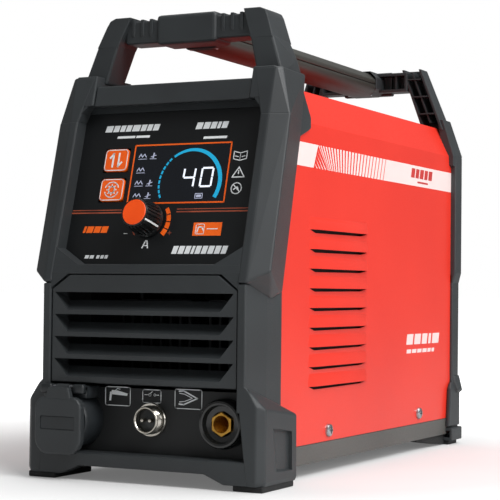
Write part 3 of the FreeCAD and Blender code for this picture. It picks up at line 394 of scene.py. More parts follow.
# ---- loop ridges -----------------------------------------------------------------------------
# Three finger ridges each side of the loop's middle collar, part of the same ABS moulding.
for side, start in (("left", -36), ("right", 24)):
    ridge = ease(hull([(s * x, Y0 + deep, z) for x, deep, z in (
        (0.8, 48.5, 256), (1.1, 47.2, 258.5), (1.1, 47.2, 267.3), (1.1, 65.4, 267.3), (1, 65.4, 255))
        for s in (-1, 1)]), 0.4)
    row(f"loop_ridges_{side}", ridge, 3, abs_charcoal, (6, 0, 0), place=(start, 0, 0), slot="frame_plastic")

# ---- grille ----------------------------------------------------------------------------------
# A separate ABS insert snapped into the frame, with four scooped air slots.
SLOTS, SLOT_TOP, SLOT_PITCH = 4, 105.9, 12.54
insert = ease(prism([(-59.4, 54.9), (59.4, 54.9), (59.4, 107.6), (47.8, 115.6), (-47.8, 115.6),
                     (-59.4, 107.6)], Y0 + 0.9, 9.6), 0.6)
scoops = []
for i in range(SLOTS):
    top = SLOT_TOP - SLOT_PITCH * i
    scoops.append(hull([(s * x, Y0 + y, top + z) for s in (-1, 1) for x, y, z in (
        (57.5, -1, 0), (49, -1, -10), (57.5, 0.9, 0), (49, 0.9, -10), (57, 4, 0), (50.4, 4, -8.7),
        (56, 7.5, 0), (52, 7.5, -6.6), (55, 12, 0), (54, 12, -3.4))]))
piece("grille_insert", [carved(insert, *scoops)], abs_charcoal, nodes=["front_grille"], slot="frame_plastic")

# ---- rear frame ------------------------------------------------------------------------------
# The matching upright moulding at the back. Its hollow, ribbed inside shows towards the front
# where the rear hand loop rises over the cover.
YR = 172.0


def back(x, y, z):
    """A point y mm in front of the rear face."""
    return Vector((x, YR - y, z))


def back_hull(*corners):
    """A hull of corners measured forward from the rear face."""
    return hull([back(*corner) for corner in corners])


def back_bar(half, y0, y1, z0, z1):
    """A plain bar across the back, half as wide each side of the middle."""
    return back_hull(*[(x, y, z) for x in (-half, half) for y in (y0, y1) for z in (z0, z1)])


rear_side = [
    ease(back_hull(*[(x, y, z) for z in (3, 122) for y in (0, 13) for x in (60, 66)]), 1.2, 3),
    ease(back_hull(*[(x, y, z) for outer, z in ((65.8, 114), (67.9, 122), (67.9, 206))
                     for y in (0, 13) for x in (60, outer)]), 1.2, 3),
    ease(back_hull((60, 0, 206), (67.9, 0, 206), (60, 17, 199), (67.2, 17, 199), (60, 13, 206),
                   (67.8, 13, 206), (56, 4, 232), (60, 4, 232), (56, 20, 232), (60, 20, 232),
                   (60, 12, 198), (67.2, 12, 198), (67.6, 18, 206), (60, 18, 206)), 1.0),
    # Boot: a stepped foot with a bump above it and a small open pocket low on the front side.
    ease(back_hull(*[(x, y, z) for outer, ys, z in (
        (67.2, (0, 22), 13), (67.2, (0, 19), 40), (66.2, (1, 15), 44)) for y in ys for x in (64.3, outer)]),
         0.8),
    ease(back_hull((64.5, 0, 34), (69.4, 0, 38), (64.5, 9, 34), (69.4, 8, 38), (64.5, 0, 47), (66.6, 0, 49),
                   (64.5, 12, 47), (66.6, 10, 49)), 0.8),
    carved(ease(back_hull(*[(x, y, z) for z in (3, 12) for y in (0, 21) for x in (58, 69)]), 0.8),
           block((61, YR - 22, 5.2), (67.2, YR - 12, 10))),
]


def trough(low, high, wall):
    """A box-section bar from one four-cornered end to the other, open towards the front."""
    outer = hull([back(*c) for c in low + high])
    middle_low = sum((Vector(c) for c in low), Vector()) / 4
    middle_high = sum((Vector(c) for c in high), Vector()) / 4
    inner = []
    for ring, middle in ((low, middle_low), (high, middle_high)):
        for corner in ring:
            across = math.copysign(wall, middle.x - corner[0])
            deep = 3 if corner[1] > middle.y else wall
            inner.append(back(corner[0] + across, corner[1] + deep, corner[2]))
    return carved(ease(outer, 0.5), hull(inner))


rear_side.append(trough([(44.6, 3.2, 224.4), (60.4, 3.2, 224.4), (44.6, 20.6, 224.4), (60.4, 20.6, 224.4)],
                        [(29.8, 11, 268.6), (44.5, 11, 268.6), (29.8, 24, 268.6), (44.5, 24, 268.6)], 1.8))
rear_middle = [
    carved(ease(back_bar(34, 11, 24, 253, 266.8), 0.5), block((-32, YR - 30, 255), (32, YR - 13.5, 264.8))),
    ease(back_bar(19, 11, 16, 251.4, 268.5), 1.0),
    ease(back_bar(61, 5, 13, 206, 227), 0.8),
    ease(back_bar(61, 1, 12.5, 8, 14), 0.8),
]
piece("rear_frame_moulding", with_mirror(rear_side) + rear_middle, abs_charcoal, nodes=["rear_frame"],
      slot="grip_plastic")

# ---- rear loop webs --------------------------------------------------------------------------
# Thin ABS webs stiffen the open posts and bar from inside, with one long web down each post.
for side, sign in (("left", -1), ("right", 1)):
    web = block((-5.4, YR - 23, 0), (5.4, YR - 8, 0.9))
    row(f"post_webs_{side}", web, 3, abs_charcoal, (sign * -4.9, -0.6, 12.5), place=(sign * 48.6, 0.6, 236),
        slot="grip_plastic")
spines = [hull([(x + dx, YR - y, z) for dx in (-0.45, 0.45) for x, y, z in (
    (50.6, 20.5, 230), (50.6, 6, 230), (37.4, 23.4, 267), (37.4, 12, 267))])]
piece("post_spines", with_mirror(spines), abs_charcoal, slot="grip_plastic")
bar_web = block((-0.45, YR - 23, 254), (0.45, YR - 12, 266))
row("bar_webs", bar_web, 2, abs_charcoal, (50, 0, 0), place=(-25, 0, 0), slot="grip_plastic")

# ---- carry handle ----------------------------------------------------------------------------
# Two ABS shells screwed together round the length between the loops; the joint runs along the side.
GRIP_FRONT, GRIP_REAR = Y0 + 67.2, YR - 28


def shell_outline(levels):
    """A symmetric outline from (half width, z) pairs, bottom to top."""
    return levels + [(-x, z) for x, z in reversed(levels)]


GRIP_LONG = GRIP_REAR - GRIP_FRONT
upper = prism(shell_outline([(12.9, 258.3), (13, 261.2), (7.2, 266.4)]), GRIP_FRONT, GRIP_LONG)
lower = prism(shell_outline([(6, 250), (9.5, 250.9), (12.2, 253.3), (13, 256), (13, 257.9)]),
              GRIP_FRONT, GRIP_LONG)
# The same ABS in a warmer dark grey, a little shinier where hands polish it.
abs_grip = finish("abs_moulded_grip", "#383833", "#30302d", 80, (0.4, 0.5), 0.5, 0.03, IOR=1.52)
piece("handle_upper_shell_moulding", [ease(upper, 0.9, 3, 15)], abs_grip, nodes=["handle_upper_shell"],
      slot="grip_plastic", smooth=40)
piece("handle_lower_shell_moulding", [ease(lower, 0.5, 2, 50)], abs_grip, nodes=["handle_lower_shell"],
      slot="grip_plastic", smooth=40)

# ---- grip sockets ----------------------------------------------------------------------------
# Eight-sided ABS sockets at both ends, part of the frames: they take the grip and close the loops.
MIDDLE_Z, BORE_SHARE = 259.25, 0.955
ring = [(-13.8, 255), (-9.5, 250.6), (9.5, 250.6), (13.8, 255), (13.8, 263), (9, 267.9), (-9, 267.9),
        (-13.8, 263)]
hole = [(x * BORE_SHARE, MIDDLE_Z + (z - MIDDLE_Z) * BORE_SHARE) for x, z in ring]
for end, start, deep in (("front", Y0 + 65, 5), ("rear", YR - 33, 17)):
    socket = carved(ease(prism(ring, start, deep), 0.5), prism(hole, start - 1, deep - 3))
    piece(f"grip_socket_{end}", [socket], abs_charcoal, slot="grip_plastic")

# ---- cover -----------------------------------------------------------------------------------
# One folded steel sheet over the top and both sides, powder-coated red, and slit for the louvres
# that are pressed out of each side. Four screws hold it to the tray.
SHEET = 1.2
HALF, ROOF_HALF, CREASE, ROOF = 64.0, 54.5, 205.5, 226.0
BACK_EDGE = YR - 12
LOUVRES, LOUVRE_TOP, LOUVRE_PITCH, LOUVRE_FRONT, LOUVRE_LONG = 9, 143.9, 11.45, 83.5, 84.5
slit = ((0.5, -0.3), (7, -2.0), (LOUVRE_LONG - 9, -1.5), (LOUVRE_LONG - 1, -0.2), (LOUVRE_LONG - 4, 4.2),
        (4, 4.2))
slits = [hull([(x, Y0 + LOUVRE_FRONT + y, LOUVRE_TOP - LOUVRE_PITCH * i + z)
               for x in (HALF - 4, HALF + 2) for y, z in slit]) for i in range(LOUVRES)]
flat = hull([(x, y, z) for x in (HALF - SHEET, HALF) for y, z in (
    (Y0 + 42.5, 19), (Y0 + 42.5, 112), (BACK_EDGE, 19), (BACK_EDGE, CREASE), (Y0 + 64.5, 196.5),
    (Y0 + 64.5, CREASE))])
right_side = carved(flat, *slits)
slant = hull([(x, Y0 + y, z) for y in (64.5, 323) for x, z in (
    (HALF, CREASE), (HALF - SHEET, CREASE), (ROOF_HALF, ROOF), (ROOF_HALF - 1, ROOF - SHEET))])
roof = block((-ROOF_HALF, Y0 + 64.5, ROOF - SHEET), (ROOF_HALF, BACK_EDGE, ROOF))
# Powder coat: saturated red under a faint orange-peel skin, semi-gloss.
powder_red = finish("powder_coat_red", "#e63626", "#de3021", 140, (0.32, 0.42), 0.9, 0.03, IOR=1.45,
                    **{"Coat Weight": 0.08, "Coat Roughness": 0.18})
piece("cover_sheet", with_mirror([right_side, slant]) + [roof], powder_red, nodes=["cover"], slot="red_paint")


# ---- louvres ---------------------------------------------------------------------------------
# Nine hoods in each side, pressed outwards from the cover's own sheet and coated with it.
def louvre():
    """A hood of sheet: closed along its top and ends, open underneath."""
    long = LOUVRE_LONG
    outer = [(0, 0, 7.4), (0, long, 7.4), (0, -1.5, 1), (0, long + 1.5, 1), (0, -1.5, 0), (0, long + 1.5, 0),
             (2.4, 7, 0), (2.4, long - 5, 0), (2.1, 6.5, 2.4), (2.1, long - 4.5, 2.4), (1.2, 4.5, 5.2),
             (1.2, long - 3, 5.2), (2.0, 4, 0), (2.0, long - 2.5, 0)]
    inner = [(x - (0.75 if x > 0.8 else 1), y + (0.8 if y < long / 2 else -0.8),
              z - (0.9 if z > 0.5 else 1.5)) for x, y, z in outer]
    return carved(hull(outer), hull(inner))


for side, sign in (("left", -1), ("right", 1)):
    hood = moved(louvre(), Matrix.Diagonal((sign, 1, 1, 1)))
    row(f"louvres_{side}", hood, LOUVRES, powder_red, (0, 0, -LOUVRE_PITCH),
        place=(sign * (HALF - 0.05), Y0 + LOUVRE_FRONT, LOUVRE_TOP), slot="red_paint", smooth=30)

# ---- side print ------------------------------------------------------------------------------
# Screen-printed ink on both sides: a white band of one block, fanned bars and a solid run, with
# plain blocks where a machine has its lettering.
BAND_LOW, BAND_HIGH, INK = 180.0, 193.8, 0.06
# White ink lets a trace of the red through, and lies matt against the glossier coat.
ink_white = finish("screen_ink_white", "#f3dfdc", "#efd9d6", 50, (0.35, 0.45), 0.8, 0.01, IOR=1.5)


def ink_bar(low_front, low_back, top_front, top_back):
    """A bar of ink as high as the band, between these distances from the front line."""
    return hull([(HALF - INK + dx, Y0 + y, z) for dx in (0, 2 * INK) for y, z in (
        (low_front, BAND_LOW), (low_back, BAND_LOW), (top_front, BAND_HIGH), (top_back, BAND_HIGH))])


FAN_BARS = 23


def fan_line(share):
    """Where one edge of a fanned bar meets the band's top and bottom."""
    top = 93.2 + 105.2 * share ** 1.15
    return top, top + 18.3 * (1 - share) ** 2.6 - 4.5


band = [ink_bar(58, 86.9, 62, 93.2), ink_bar(194.4, 322.5, 198.9, 322.5)]
for i in range(FAN_BARS):
    share, next_share = (i + 0.1) / FAN_BARS, (i + 0.1 + 0.4 + 0.4 * i / FAN_BARS) / FAN_BARS
    (top_front, low_front), (top_back, low_back) = fan_line(share), fan_line(min(next_share, 1))
    band.append(ink_bar(low_front, low_back, top_front, top_back))
for i in range(1, 5):
    # The first bars start part of the way down, on the block's slanted edge.
    drop = 0.2 * i
    start, end, high = 93.6 - 6.3 * drop, 93.6 - 6.3 * drop + 13.8 * (1 - drop), BAND_HIGH - 13.8 * drop
    band.append(hull([(HALF - INK + dx, Y0 + y, z) for dx in (0, 2 * INK) for y, z in (
        (start, high), (start + 0.9, high - 0.9), (end, BAND_LOW), (end + 1.3, BAND_LOW))]))


def dashes(start, low, tall, lengths, gap=0.8, lean=0.25):
    """Slanted blocks in a row, as outlines: they take the place of any lettering."""
    outlines = []
    for length in lengths:
        outlines.append([(start, low), (start + length, low), (start + length + lean * tall, low + tall),
                         (start + lean * tall, low + tall)])
        start += length + gap
    return outlines


def side_print(outlines, proud):
    """Outlines in (distance from the front line, height) printed on the right side of the cover."""
    return [hull([(HALF + proud + dx, Y0 + y, z) for dx in (-INK, INK) for y, z in outline])
            for outline in outlines]


band += side_print(dashes(237, 72.8, 7, (11.5, 11.5, 9.5, 4.5, 13), 2.8)
                   + dashes(237.5, 67, 2.6, (8, 8, 8, 8, 6, 5), 1.8), 0)
piece("cover_white_band", with_mirror(band), ink_white, slot="red_paint")
# Red ink over the white, a shade deeper than the coat.
ink_red = finish("screen_ink_red", "#c93a35", "#bd322e", 50, (0.35, 0.45), 0.8, 0.01, IOR=1.5)
blocks = side_print(dashes(243, 185.4, 6.4, (6.6, 6, 6.8, 6, 6.8), 1.8) + dashes(255, 182.2, 1.2, (20,)), INK)
piece("cover_band_badge", with_mirror(blocks), ink_red, slot="red_paint")

# ---- tray ------------------------------------------------------------------------------------
# The folded steel floor of the machine in grey powder coat; its edge shows below the cover.
# Grey powder coat, duller than the red, with the same faint orange-peel skin.
powder_grey = finish("powder_coat_grey", "#575754", "#4f4f4c", 90, (0.42, 0.55), 0.9, 0.03, IOR=1.5)
tray_edge = ease(block((HALF - 3, Y0 + 43.2, 7.5), (HALF + 0.1, YR - 13.2, 18.8)), 0.5)
tray_flange = block((HALF - 2.9, Y0 + 43.2, 18), (HALF - 1.4, YR - 23, 36))
tray_floor = block((-HALF + 2, Y0 + 16.2, 7.6), (HALF - 2, YR - 13.2, 9.1))
piece("tray_sheet", with_mirror([tray_edge, tray_flange]) + [tray_floor], powder_grey, nodes=["chassis_tray"],
      slot="grey_paint")


# ---- cover screws ----------------------------------------------------------------------------
# Zinc-plated M4 pan heads with a cross recess, two in each side.
def lathe(outline, steps=48, loop=False):
    """A turned shape about z from (radius, height) pairs; a loop closes on itself round a bore."""
    shape = bmesh.new()
    rings = []
    for radius, height in outline:
        if radius < 1e-6:
            rings.append([shape.verts.new((0, 0, height))])
        else:
            rings.append([shape.verts.new((radius * math.cos(math.tau * i / steps),
                                           radius * math.sin(math.tau * i / steps), height))
                          for i in range(steps)])
    pairs = list(zip(rings, rings[1:])) + ([(rings[-1], rings[0])] if loop else [])
    for first, last in pairs:
        for i in range(steps):
            j = (i + 1) % steps
            corners = [first[i % len(first)], first[j % len(first)], last[j % len(last)], last[i % len(last)]]
            kept = list(dict.fromkeys(corners))
            if len(kept) > 2:
                shape.faces.new(kept)
    bmesh.ops.recalc_face_normals(shape, faces=shape.faces)
    return shape


# Bright zinc: cool silver, with a fine plated mottle.
zinc = finish("zinc_plated_steel", "#c9cdd0", "#aeb3b6", 6, (0.2, 0.34), 0.3, 0.01, Metallic=1.0)
FACING = {"front": Euler((math.pi / 2, 0, 0)), "rear": Euler((-math.pi / 2, 0, 0)),
          "right": Euler((0, math.pi / 2, 0)), "left": Euler((0, -math.pi / 2, 0))}


def facing(shape, way, spot):
    """Turns a shape's z axis to one side of the machine and sets its origin there."""
    return moved(shape, Matrix.Translation(spot) @ FACING[way].to_matrix().to_4x4())


def pan_head(radius, high, slot_long):
    """A domed screw head with a cross recess."""
    head = lathe([(0, -0.4), (radius, -0.4), (radius, high * 0.35), (radius * 0.9, high * 0.75),
                  (radius * 0.62, high * 0.96), (0, high)], 32)
    wide = slot_long * 0.13
    cross = [block((-slot_long / 2, -wide, high * 0.35), (slot_long / 2, wide, high + 1)),
             block((-wide, -slot_long / 2, high * 0.35), (wide, slot_long / 2, high + 1))]
    return carved(carved(head, cross[0]), cross[1])


for way, sign in (("left", -1), ("right", 1)):
    head = facing(pan_head(3.9, 2.4, 4.4), way, (sign * HALF, 0, 0))
    row(f"cover_screws_{way}", head, 2, zinc, (0, 149, 0.6), place=(0, Y0 + 111, 25.2),
        nodes=["cover_screws"], slot="zinc_steel", smooth=25)

# ---- rubber feet -----------------------------------------------------------------------------
# Moulded rubber pads pressed into the undersides of the four boots.
# Carbon-black rubber: dull, nearly black, with a soft moulded bloom.
rubber = finish("rubber_moulded_black", "#1d1e1f", "#141515", 20, (0.6, 0.8), 0.7, 0.05)
pads = [ease(block((57, Y0 + 2.4, 0), (75.2, Y0 + 41, 3.4)), 0.8),
        ease(block((56.5, YR - 19.5, 0), (66, YR - 2.5, 3.4)), 0.8)]
# A wedge tapers forward from each rear pad under the tray, black as painted shade where the tray's underside
# lies in shadow.
pads.append(ease(hull([(x, Y0 + y, z) for x in (50, 62.4) for y, z in (
    (262, 6.2), (262, 7.5), (311, 0.4), (326, 0.4), (326, 7.5))]), 0.3))
piece("rubber_pads_and_shade_wedges", with_mirror(pads), rubber, nodes=["rubber_feet"], slot="rubber")

# ---- connector bay ---------------------------------------------------------------------------
# The plate behind the sockets is in textured black nylon, printed with three white pictograms.
# Satin black overlay film: smooth, near black, with a soft sheen.
film_black = finish("overlay_film_black", "#0c0f11", "#090b0d", 120, (0.4, 0.5), 0.35, 0.012, IOR=1.45)
# Coarsely textured black nylon, which scatters light more than the film.
bay_black = finish("nylon_textured_black", "#191b1c", "#131516", 40, (0.5, 0.65), 0.5, 0.04, IOR=1.5)
# White screen ink on the film: flat and even.
print_white = finish("film_print_white", "#eef1f2", "#e4e8ea", 30, (0.4, 0.5), 0.5, 0.005)


def keep(node, material):
    """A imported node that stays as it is, in its own finish."""
    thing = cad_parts[node]
    thing.data.materials.clear()
    thing.data.materials.append(material)


def rounded(x0, z0, x1, z1, radius, steps=5):
    """A rectangle's outline in (x, z) with round corners."""
    outline = []
    for x, z, start in ((x1 - radius, z1 - radius, 0), (x0 + radius, z1 - radius, 90),
                        (x0 + radius, z0 + radius, 180), (x1 - radius, z0 + radius, 270)):
        for i in range(steps + 1):
            angle = math.radians(start + 90 * i / steps)
            outline.append((x + radius * math.cos(angle), z + radius * math.sin(angle)))
    return outline


INK_DEEP = 0.07


def stroke(points, width, deep, closed=False):
    """A printed line along (x, z) points on a face that many mm deep, one thin bar for each run."""
    bars = []
    ends = list(zip(points, points[1:])) + ([(points[-1], points[0])] if closed else [])
    for (xa, za), (xb, zb) in ends:
        long = math.hypot(xb - xa, zb - za)
        ax, az = (xb - xa) / long * width / 2, (zb - za) / long * width / 2
        corners = [(xa - ax - az, za - az + ax), (xb + ax - az, zb + az + ax),
                   (xb + ax + az, zb + az - ax), (xa - ax + az, za - az - ax)]
        bars.append(prism(corners, deep - INK_DEEP, 2 * INK_DEEP))
    return bars


def patch(outline, deep):
    """A printed area on a face that many mm deep."""
    return prism(outline, deep - INK_DEEP, 2 * INK_DEEP)


def arc(x, z, radius, start, end, steps=24):
    """Points round a circle, between two angles in degrees."""
    angles = [math.radians(start + (end - start) * i / steps) for i in range(steps + 1)]
    return [(x + radius * math.cos(angle), z + radius * math.sin(angle)) for angle in angles]


PLATE = Y0 + 14
icons = []
for x0, z0, x1, z1 in ((-31, 42, -14.6, 52.4), (-6.4, 44.4, 5.4, 51.6), (14.5, 42, 31.5, 52.6)):
    icons += stroke(rounded(x0, z0, x1, z1, 1.0, 3), 0.42, PLATE, closed=True)
# A torch, a switch contact and a spring clamp.
icons += [patch([(-28.6, 44.6), (-27.3, 44.6), (-26.6, 49.6), (-28, 49.6)], PLATE),
          patch([(-27.4, 48.2), (-16.6, 47.6), (-16.4, 48.9), (-23, 50.4), (-26.8, 50.6)], PLATE)]
icons += stroke([(-24.5, 50.4), (-23, 51.6), (-21.4, 51.2)], 0.35, PLATE)
icons += stroke([(-5, 48.8), (-2.6, 48.8), (-0.2, 50.6)], 0.4, PLATE)
icons += stroke([(1.4, 48.8), (4, 48.8)], 0.4, PLATE)
for x, radius in ((-1.8, 0.8), (1.4, 0.7)):
    icons += stroke(arc(x, 48.8, radius, 0, 360, 10), 0.3, PLATE)
icons += stroke([(17.2, 51.6), (20, 51.8), (28.6, 47.9), (20, 44.2), (17.2, 44.4)], 0.75, PLATE)
icons += stroke([(17.4, 50.4), (20.6, 50), (25.6, 47.9), (20.6, 46), (17.4, 45.6)], 0.4, PLATE)
piece("bay_pictograms", icons, print_white, slot="panel_film")
keep("connector_plate", bay_black)

# ---- torch socket ----------------------------------------------------------------------------
# A moulded nylon cup round the torch's central connector, with a sprung dust cover hinged on a
# steel pin between two lugs.
TORCH_X, TORCH_Z, HINGE_Z = -48.4, 33.0, 51.8
# Smooth black nylon: cool, softly glossy.
nylon_black = finish("nylon_moulded_black", "#23272a", "#1b1f21", 30, (0.3, 0.45), 0.5, 0.02, IOR=1.53)
cup = lathe([(16.2, 0), (16.2, 15.6), (15.2, 17.2), (13, 17.5), (11.5, 16.6), (11.5, -3.4), (6.5, -3.4),
             (6.5, -6.5), (12.6, -6.5), (12.6, 0)], 56, loop=True)
socket = [facing(cup, "front", (TORCH_X, PLATE, TORCH_Z + 0.6))]
LUGS, LUG_WIDE = (-14.6, 6.8), 7.8
socket += [ease(block((TORCH_X + x, Y0 - 5.2, 48.6), (TORCH_X + x + LUG_WIDE, Y0 - 0.3, 54.2)), 1.4, 3)
           for x in LUGS]
socket += [ease(block((TORCH_X + x, Y0 - 1.4, 46.2), (TORCH_X + x + LUG_WIDE, Y0 + 13.9, 53.2)), 0.8)
           for x in LUGS]
piece("torch_socket_cup", socket, nylon_black, nodes=["torch_socket_housing"], slot="black_plastic",
      smooth=35)

# ---- torch socket door -----------------------------------------------------------------------
# The moulded ABS dust cover, with a shallow recess for its badge and a knuckle on the hinge pin.
half_face = [(0, 14.8), (8.4, 14.8), (10.6, 15.5), (13.6, 18.4), (15, 21), (15.4, 23.6), (15.4, 41),
             (14.8, 43.4), (13, 45.8), (11, 46.8), (9, 47)]
face_outline = [(TORCH_X + x, z) for x, z in half_face]
face_outline += [(TORCH_X - x, z) for x, z in reversed(half_face[1:])]
door = carved(ease(prism(face_outline, Y0 - 9, 4.9), 1.3, 3, 50),
              prism(rounded(TORCH_X - 11.5, 28.6, TORCH_X + 11.5, 36.2, 0.8, 2), Y0 - 10, 1.7))
knuckle = lathe([(0, -4.1), (2.3, -4.1), (2.3, 4.1), (0, 4.1)], 24)
knuckle = facing(knuckle, "right", (TORCH_X, Y0 - 2.2, HINGE_Z))
tongue = [ease(block((TORCH_X - 4.1, Y0 - 8.6, 44.5), (TORCH_X + 4.1, Y0 - 3.4, 52.6)), 0.8),
          ease(hull([(TORCH_X + s * x, Y0 + y, z) for s in (-1, 1) for x, y, z in (
              (6.6, -8.9, 48), (6.6, -8.9, 52.4), (6.6, -5, 52.4), (6.6, -5, 48), (8.6, -8.9, 45.4),
              (8.6, -5, 45.4))]), 0.7)]
door_badge = block((TORCH_X - 11.3, Y0 - 8.55, 28.8), (TORCH_X + 11.3, Y0 - 7.9, 36))
piece("torch_door_badge", [ease(door_badge, 0.2)], nylon_black, "flap", slot="black_plastic")
piece("torch_socket_door", [door, knuckle] + tongue, abs_charcoal, "flap", nodes=["torch_socket_flap"],
      slot="frame_plastic")

# ---- hinge pin and springs -------------------------------------------------------------------
# A steel pin through the lugs, with a coil spring each side of the knuckle to shut the door.
# Black oxide on the steel: dark, with a dull metal glint.
oxide = finish("steel_black_oxide", "#3a3b3d", "#2b2c2e", 6, (0.3, 0.45), 0.3, 0.01, Metallic=1.0)
keep("flap_hinge_pin", oxide)
for side, x in (("left", -6.5), ("right", 4.5)):
    coil = facing(lathe([(2.0, -0.22), (2.25, 0), (2.0, 0.22), (1.75, 0)], 24, loop=True), "right", (0, 0, 0))
    row(f"flap_spring_coil_{side}", coil, 5, oxide, (0.5, 0, 0), place=(TORCH_X + x, Y0 - 2, HINGE_Z),
        nodes=["flap_spring"], slot="zinc_steel")

# ---- torch connector -------------------------------------------------------------------------
# A turned brass nose, threaded outside and bored for gas and current, with two signal pins.
# Bare brass: warm yellow, with fine lathe marks.
brass = finish("brass_turned", "#c89b4a", "#b08338", 8, (0.18, 0.3), 0.25, 0.01, Metallic=1.0)


def thread(radius, start, end, pitch, depth):
    """The outline of a thread, from its start to its end."""
    turns = int((end - start) / pitch)
    points = []
    for i in range(turns):
        points += [(radius, start + pitch * (i + 0.3)), (radius - depth, start + pitch * (i + 0.8))]
    return points


nose = lathe([(5, 3), (6.3, 3)] + thread(7, 3.2, 17.4, 1.5, 0.6) + [(6.4, 17.8), (6.4, 27), (5, 27)], 40,
             loop=True)
piece("torch_connector_nose", [facing(nose, "rear", (TORCH_X, Y0, TORCH_Z))], brass,
      nodes=["torch_connector"], slot="brass", smooth=30)
keep("torch_signal_pins", brass)

# ---- control socket --------------------------------------------------------------------------
# The nickel-plated two-pin signal socket: a threaded shell over a dark moulded insert.
# Nickel plate: bright, faintly warm, with sharp highlights.
nickel = finish("nickel_plated_brass", "#d8d4cb", "#b9b4aa", 7, (0.12, 0.24), 0.3, 0.008, Metallic=1.0)
shell = lathe([(6.35, 0), (9.6, 0), (9.6, 1.9), (9.2, 2.4), (8.1, 2.4)] + thread(7.95, 2.6, 7.2, 1.0, 0.45)
              + [(7.7, 7.4), (7.3, 7.9), (6.7, 7.9), (6.35, 7.4)], 56, loop=True)
SIGNAL_Z = 35
piece("control_socket_barrel", [facing(shell, "front", (0, Y0 + 14, SIGNAL_Z))], nickel,
      nodes=["control_socket_shell", "control_socket_nut"], slot="nickel", smooth=30)
insert_face = lathe([(0, 0), (6.3, 0), (6.3, 3.3), (5.6, 3.6), (0, 3.6)], 40)
piece("control_socket_face", [facing(insert_face, "front", (0, Y0 + 13.9, SIGNAL_Z))], nylon_black,
      nodes=["control_socket_insert"], slot="black_plastic", smooth=30)
contact = [(0, -3), (1.25, -3), (1.25, 5.6), (0.9, 6.4), (0, 6.6)]
pins = [facing(lathe(contact, 20), "front", (x, Y0 + 13, SIGNAL_Z)) for x in (-2.5, 2.5)]
piece("control_socket_contacts", pins, nickel, nodes=["control_socket_pins"], slot="brass", smooth=40)

# ---- clamp socket ----------------------------------------------------------------------------
# The earth clamp's twist-lock socket: a glossy insulating ring round a hexagonal brass barrel.
CLAMP_X, CLAMP_Z = 47.0, 35.0
# Polished phenolic: black, with a clear hard gloss.
phenolic = finish("phenolic_gloss_black", "#1e1f1e", "#161717", 25, (0.12, 0.2), 0.6, 0.01, IOR=1.6)
collar = lathe([(6.9, 0), (13.8, 0), (13.8, 4.4), (13.1, 7.6), (12.6, 8.3), (11.6, 8.5), (10.7, 8.1),
                (10.2, 6.2), (9.7, 5.2), (6.9, 4.8)], 64, loop=True)
piece("clamp_socket_collar", [facing(collar, "front", (CLAMP_X, Y0 + 14, CLAMP_Z))], phenolic,
      nodes=["clamp_socket_ring"], slot="black_plastic", smooth=30)
hexagon = prism(arc(0, 0, 7, 30, 330, 5), 0, 26)
bore = lathe([(0, -2), (4.75, -2)] + [(4.75 - (0.35 if i % 2 else 0), 0.6 + 0.55 * i) for i in range(22)]
             + [(4.4, 24), (0, 24)], 40)
barrel = carved(ease(hexagon, 0.6, 2, 40), moved(bore, Matrix.Rotation(-math.pi / 2, 4, "X")))
piece("clamp_socket_barrel", [moved(barrel, Matrix.Translation((CLAMP_X, Y0 + 7.6, CLAMP_Z)))], brass,
      nodes=["clamp_socket_brass", "clamp_socket_nut"], slot="brass")

# ---- control panel ---------------------------------------------------------------------------
# A steel plate under one printed polycarbonate overlay. Everything printed on it is a thin layer
# of ink, and the whole stands 9.7 mm behind the leaning face.
PANEL = 9.7
ON_FACE = Matrix.Translation((0, Y0, LEAN_FROM)) @ Matrix.Rotation(math.radians(-15), 4, "X")


def leaning(*shapes):
    """Moves shapes made in (across, deep, up) on to the leaning face."""
    return [moved(shape, ON_FACE) for shape in shapes]


keep("control_panel", film_black)
# Orange and copper inks on the film, as flat as the white.
print_orange = finish("film_print_orange", "#ff6a14", "#f55f0e", 40, (0.35, 0.45), 0.5, 0.005)
print_copper = finish("film_print_copper", "#b4573a", "#8a3f2c", 14, (0.35, 0.45), 0.5, 0.005)
orange = stroke([(-23.3, 49), (39.4, 49), (39.4, 84.2), (-23.3, 84.2)], 0.85, PANEL, closed=True)
orange += [patch([(22.4, 29.4), (40.4, 29.4), (40.4, 37.1), (22.4, 37.1)], PANEL)]
# Four arcs beside the knob widen towards its high end.
for i in range(4):
    start = 34 - 19 * i
    outer = arc(-7.2, 38.4, 14.3, start, start - 16, 6)
    inner = arc(-7.2, 38.4, 11.9 - 0.2 * i, start - 16, start, 6)
    orange.append(patch(outer + inner, PANEL))
orange += [patch(outline, PANEL) for outline in dashes(-50.4, 31.6, 3.9, (1.6, 4.2, 4.2, 4.2), 0.7)]
piece("panel_orange_print", leaning(*orange), print_orange, slot="panel_film")
copper = [patch([(-17.4, 33.4), (-16.4, 33.2), (-14.6, 29.8), (-16, 30.4)], PANEL)]
copper += stroke([(6.6, 31.2), (8.6, 31.2)], 0.35, PANEL) + stroke([(7.6, 30.2), (7.6, 32.2)], 0.35, PANEL)
for up, thick in ((45.2, 0.5), (43.6, 0.75)):
    copper += stroke([(-59.5, up), (-24, up)], thick, PANEL) + stroke([(10.5, up), (59.5, up)], thick, PANEL)
piece("panel_copper_lines", leaning(*copper), print_copper, slot="panel_film")
white = stroke([(-8.9, 22.6), (-7.2, 26.6), (-6.2, 26.6), (-5.4, 22.6)], 0.75, PANEL)
white += stroke([(-8.1, 23.8), (-5.8, 23.8)], 0.6, PANEL)
white += stroke([(-22.4, 31), (-20.2, 31)], 0.35, PANEL)
white += stroke(rounded(24.2, 30.4, 29.4, 36.1, 0.6, 2), 0.35, PANEL - 0.1, closed=True)
white += stroke([(25.2, 31.6), (25.8, 34.6), (28.2, 34.2), (28.8, 32.8)], 0.7, PANEL - 0.1)
white += stroke([(31.4, 33.3), (37.8, 33.3)], 0.5, PANEL - 0.1)
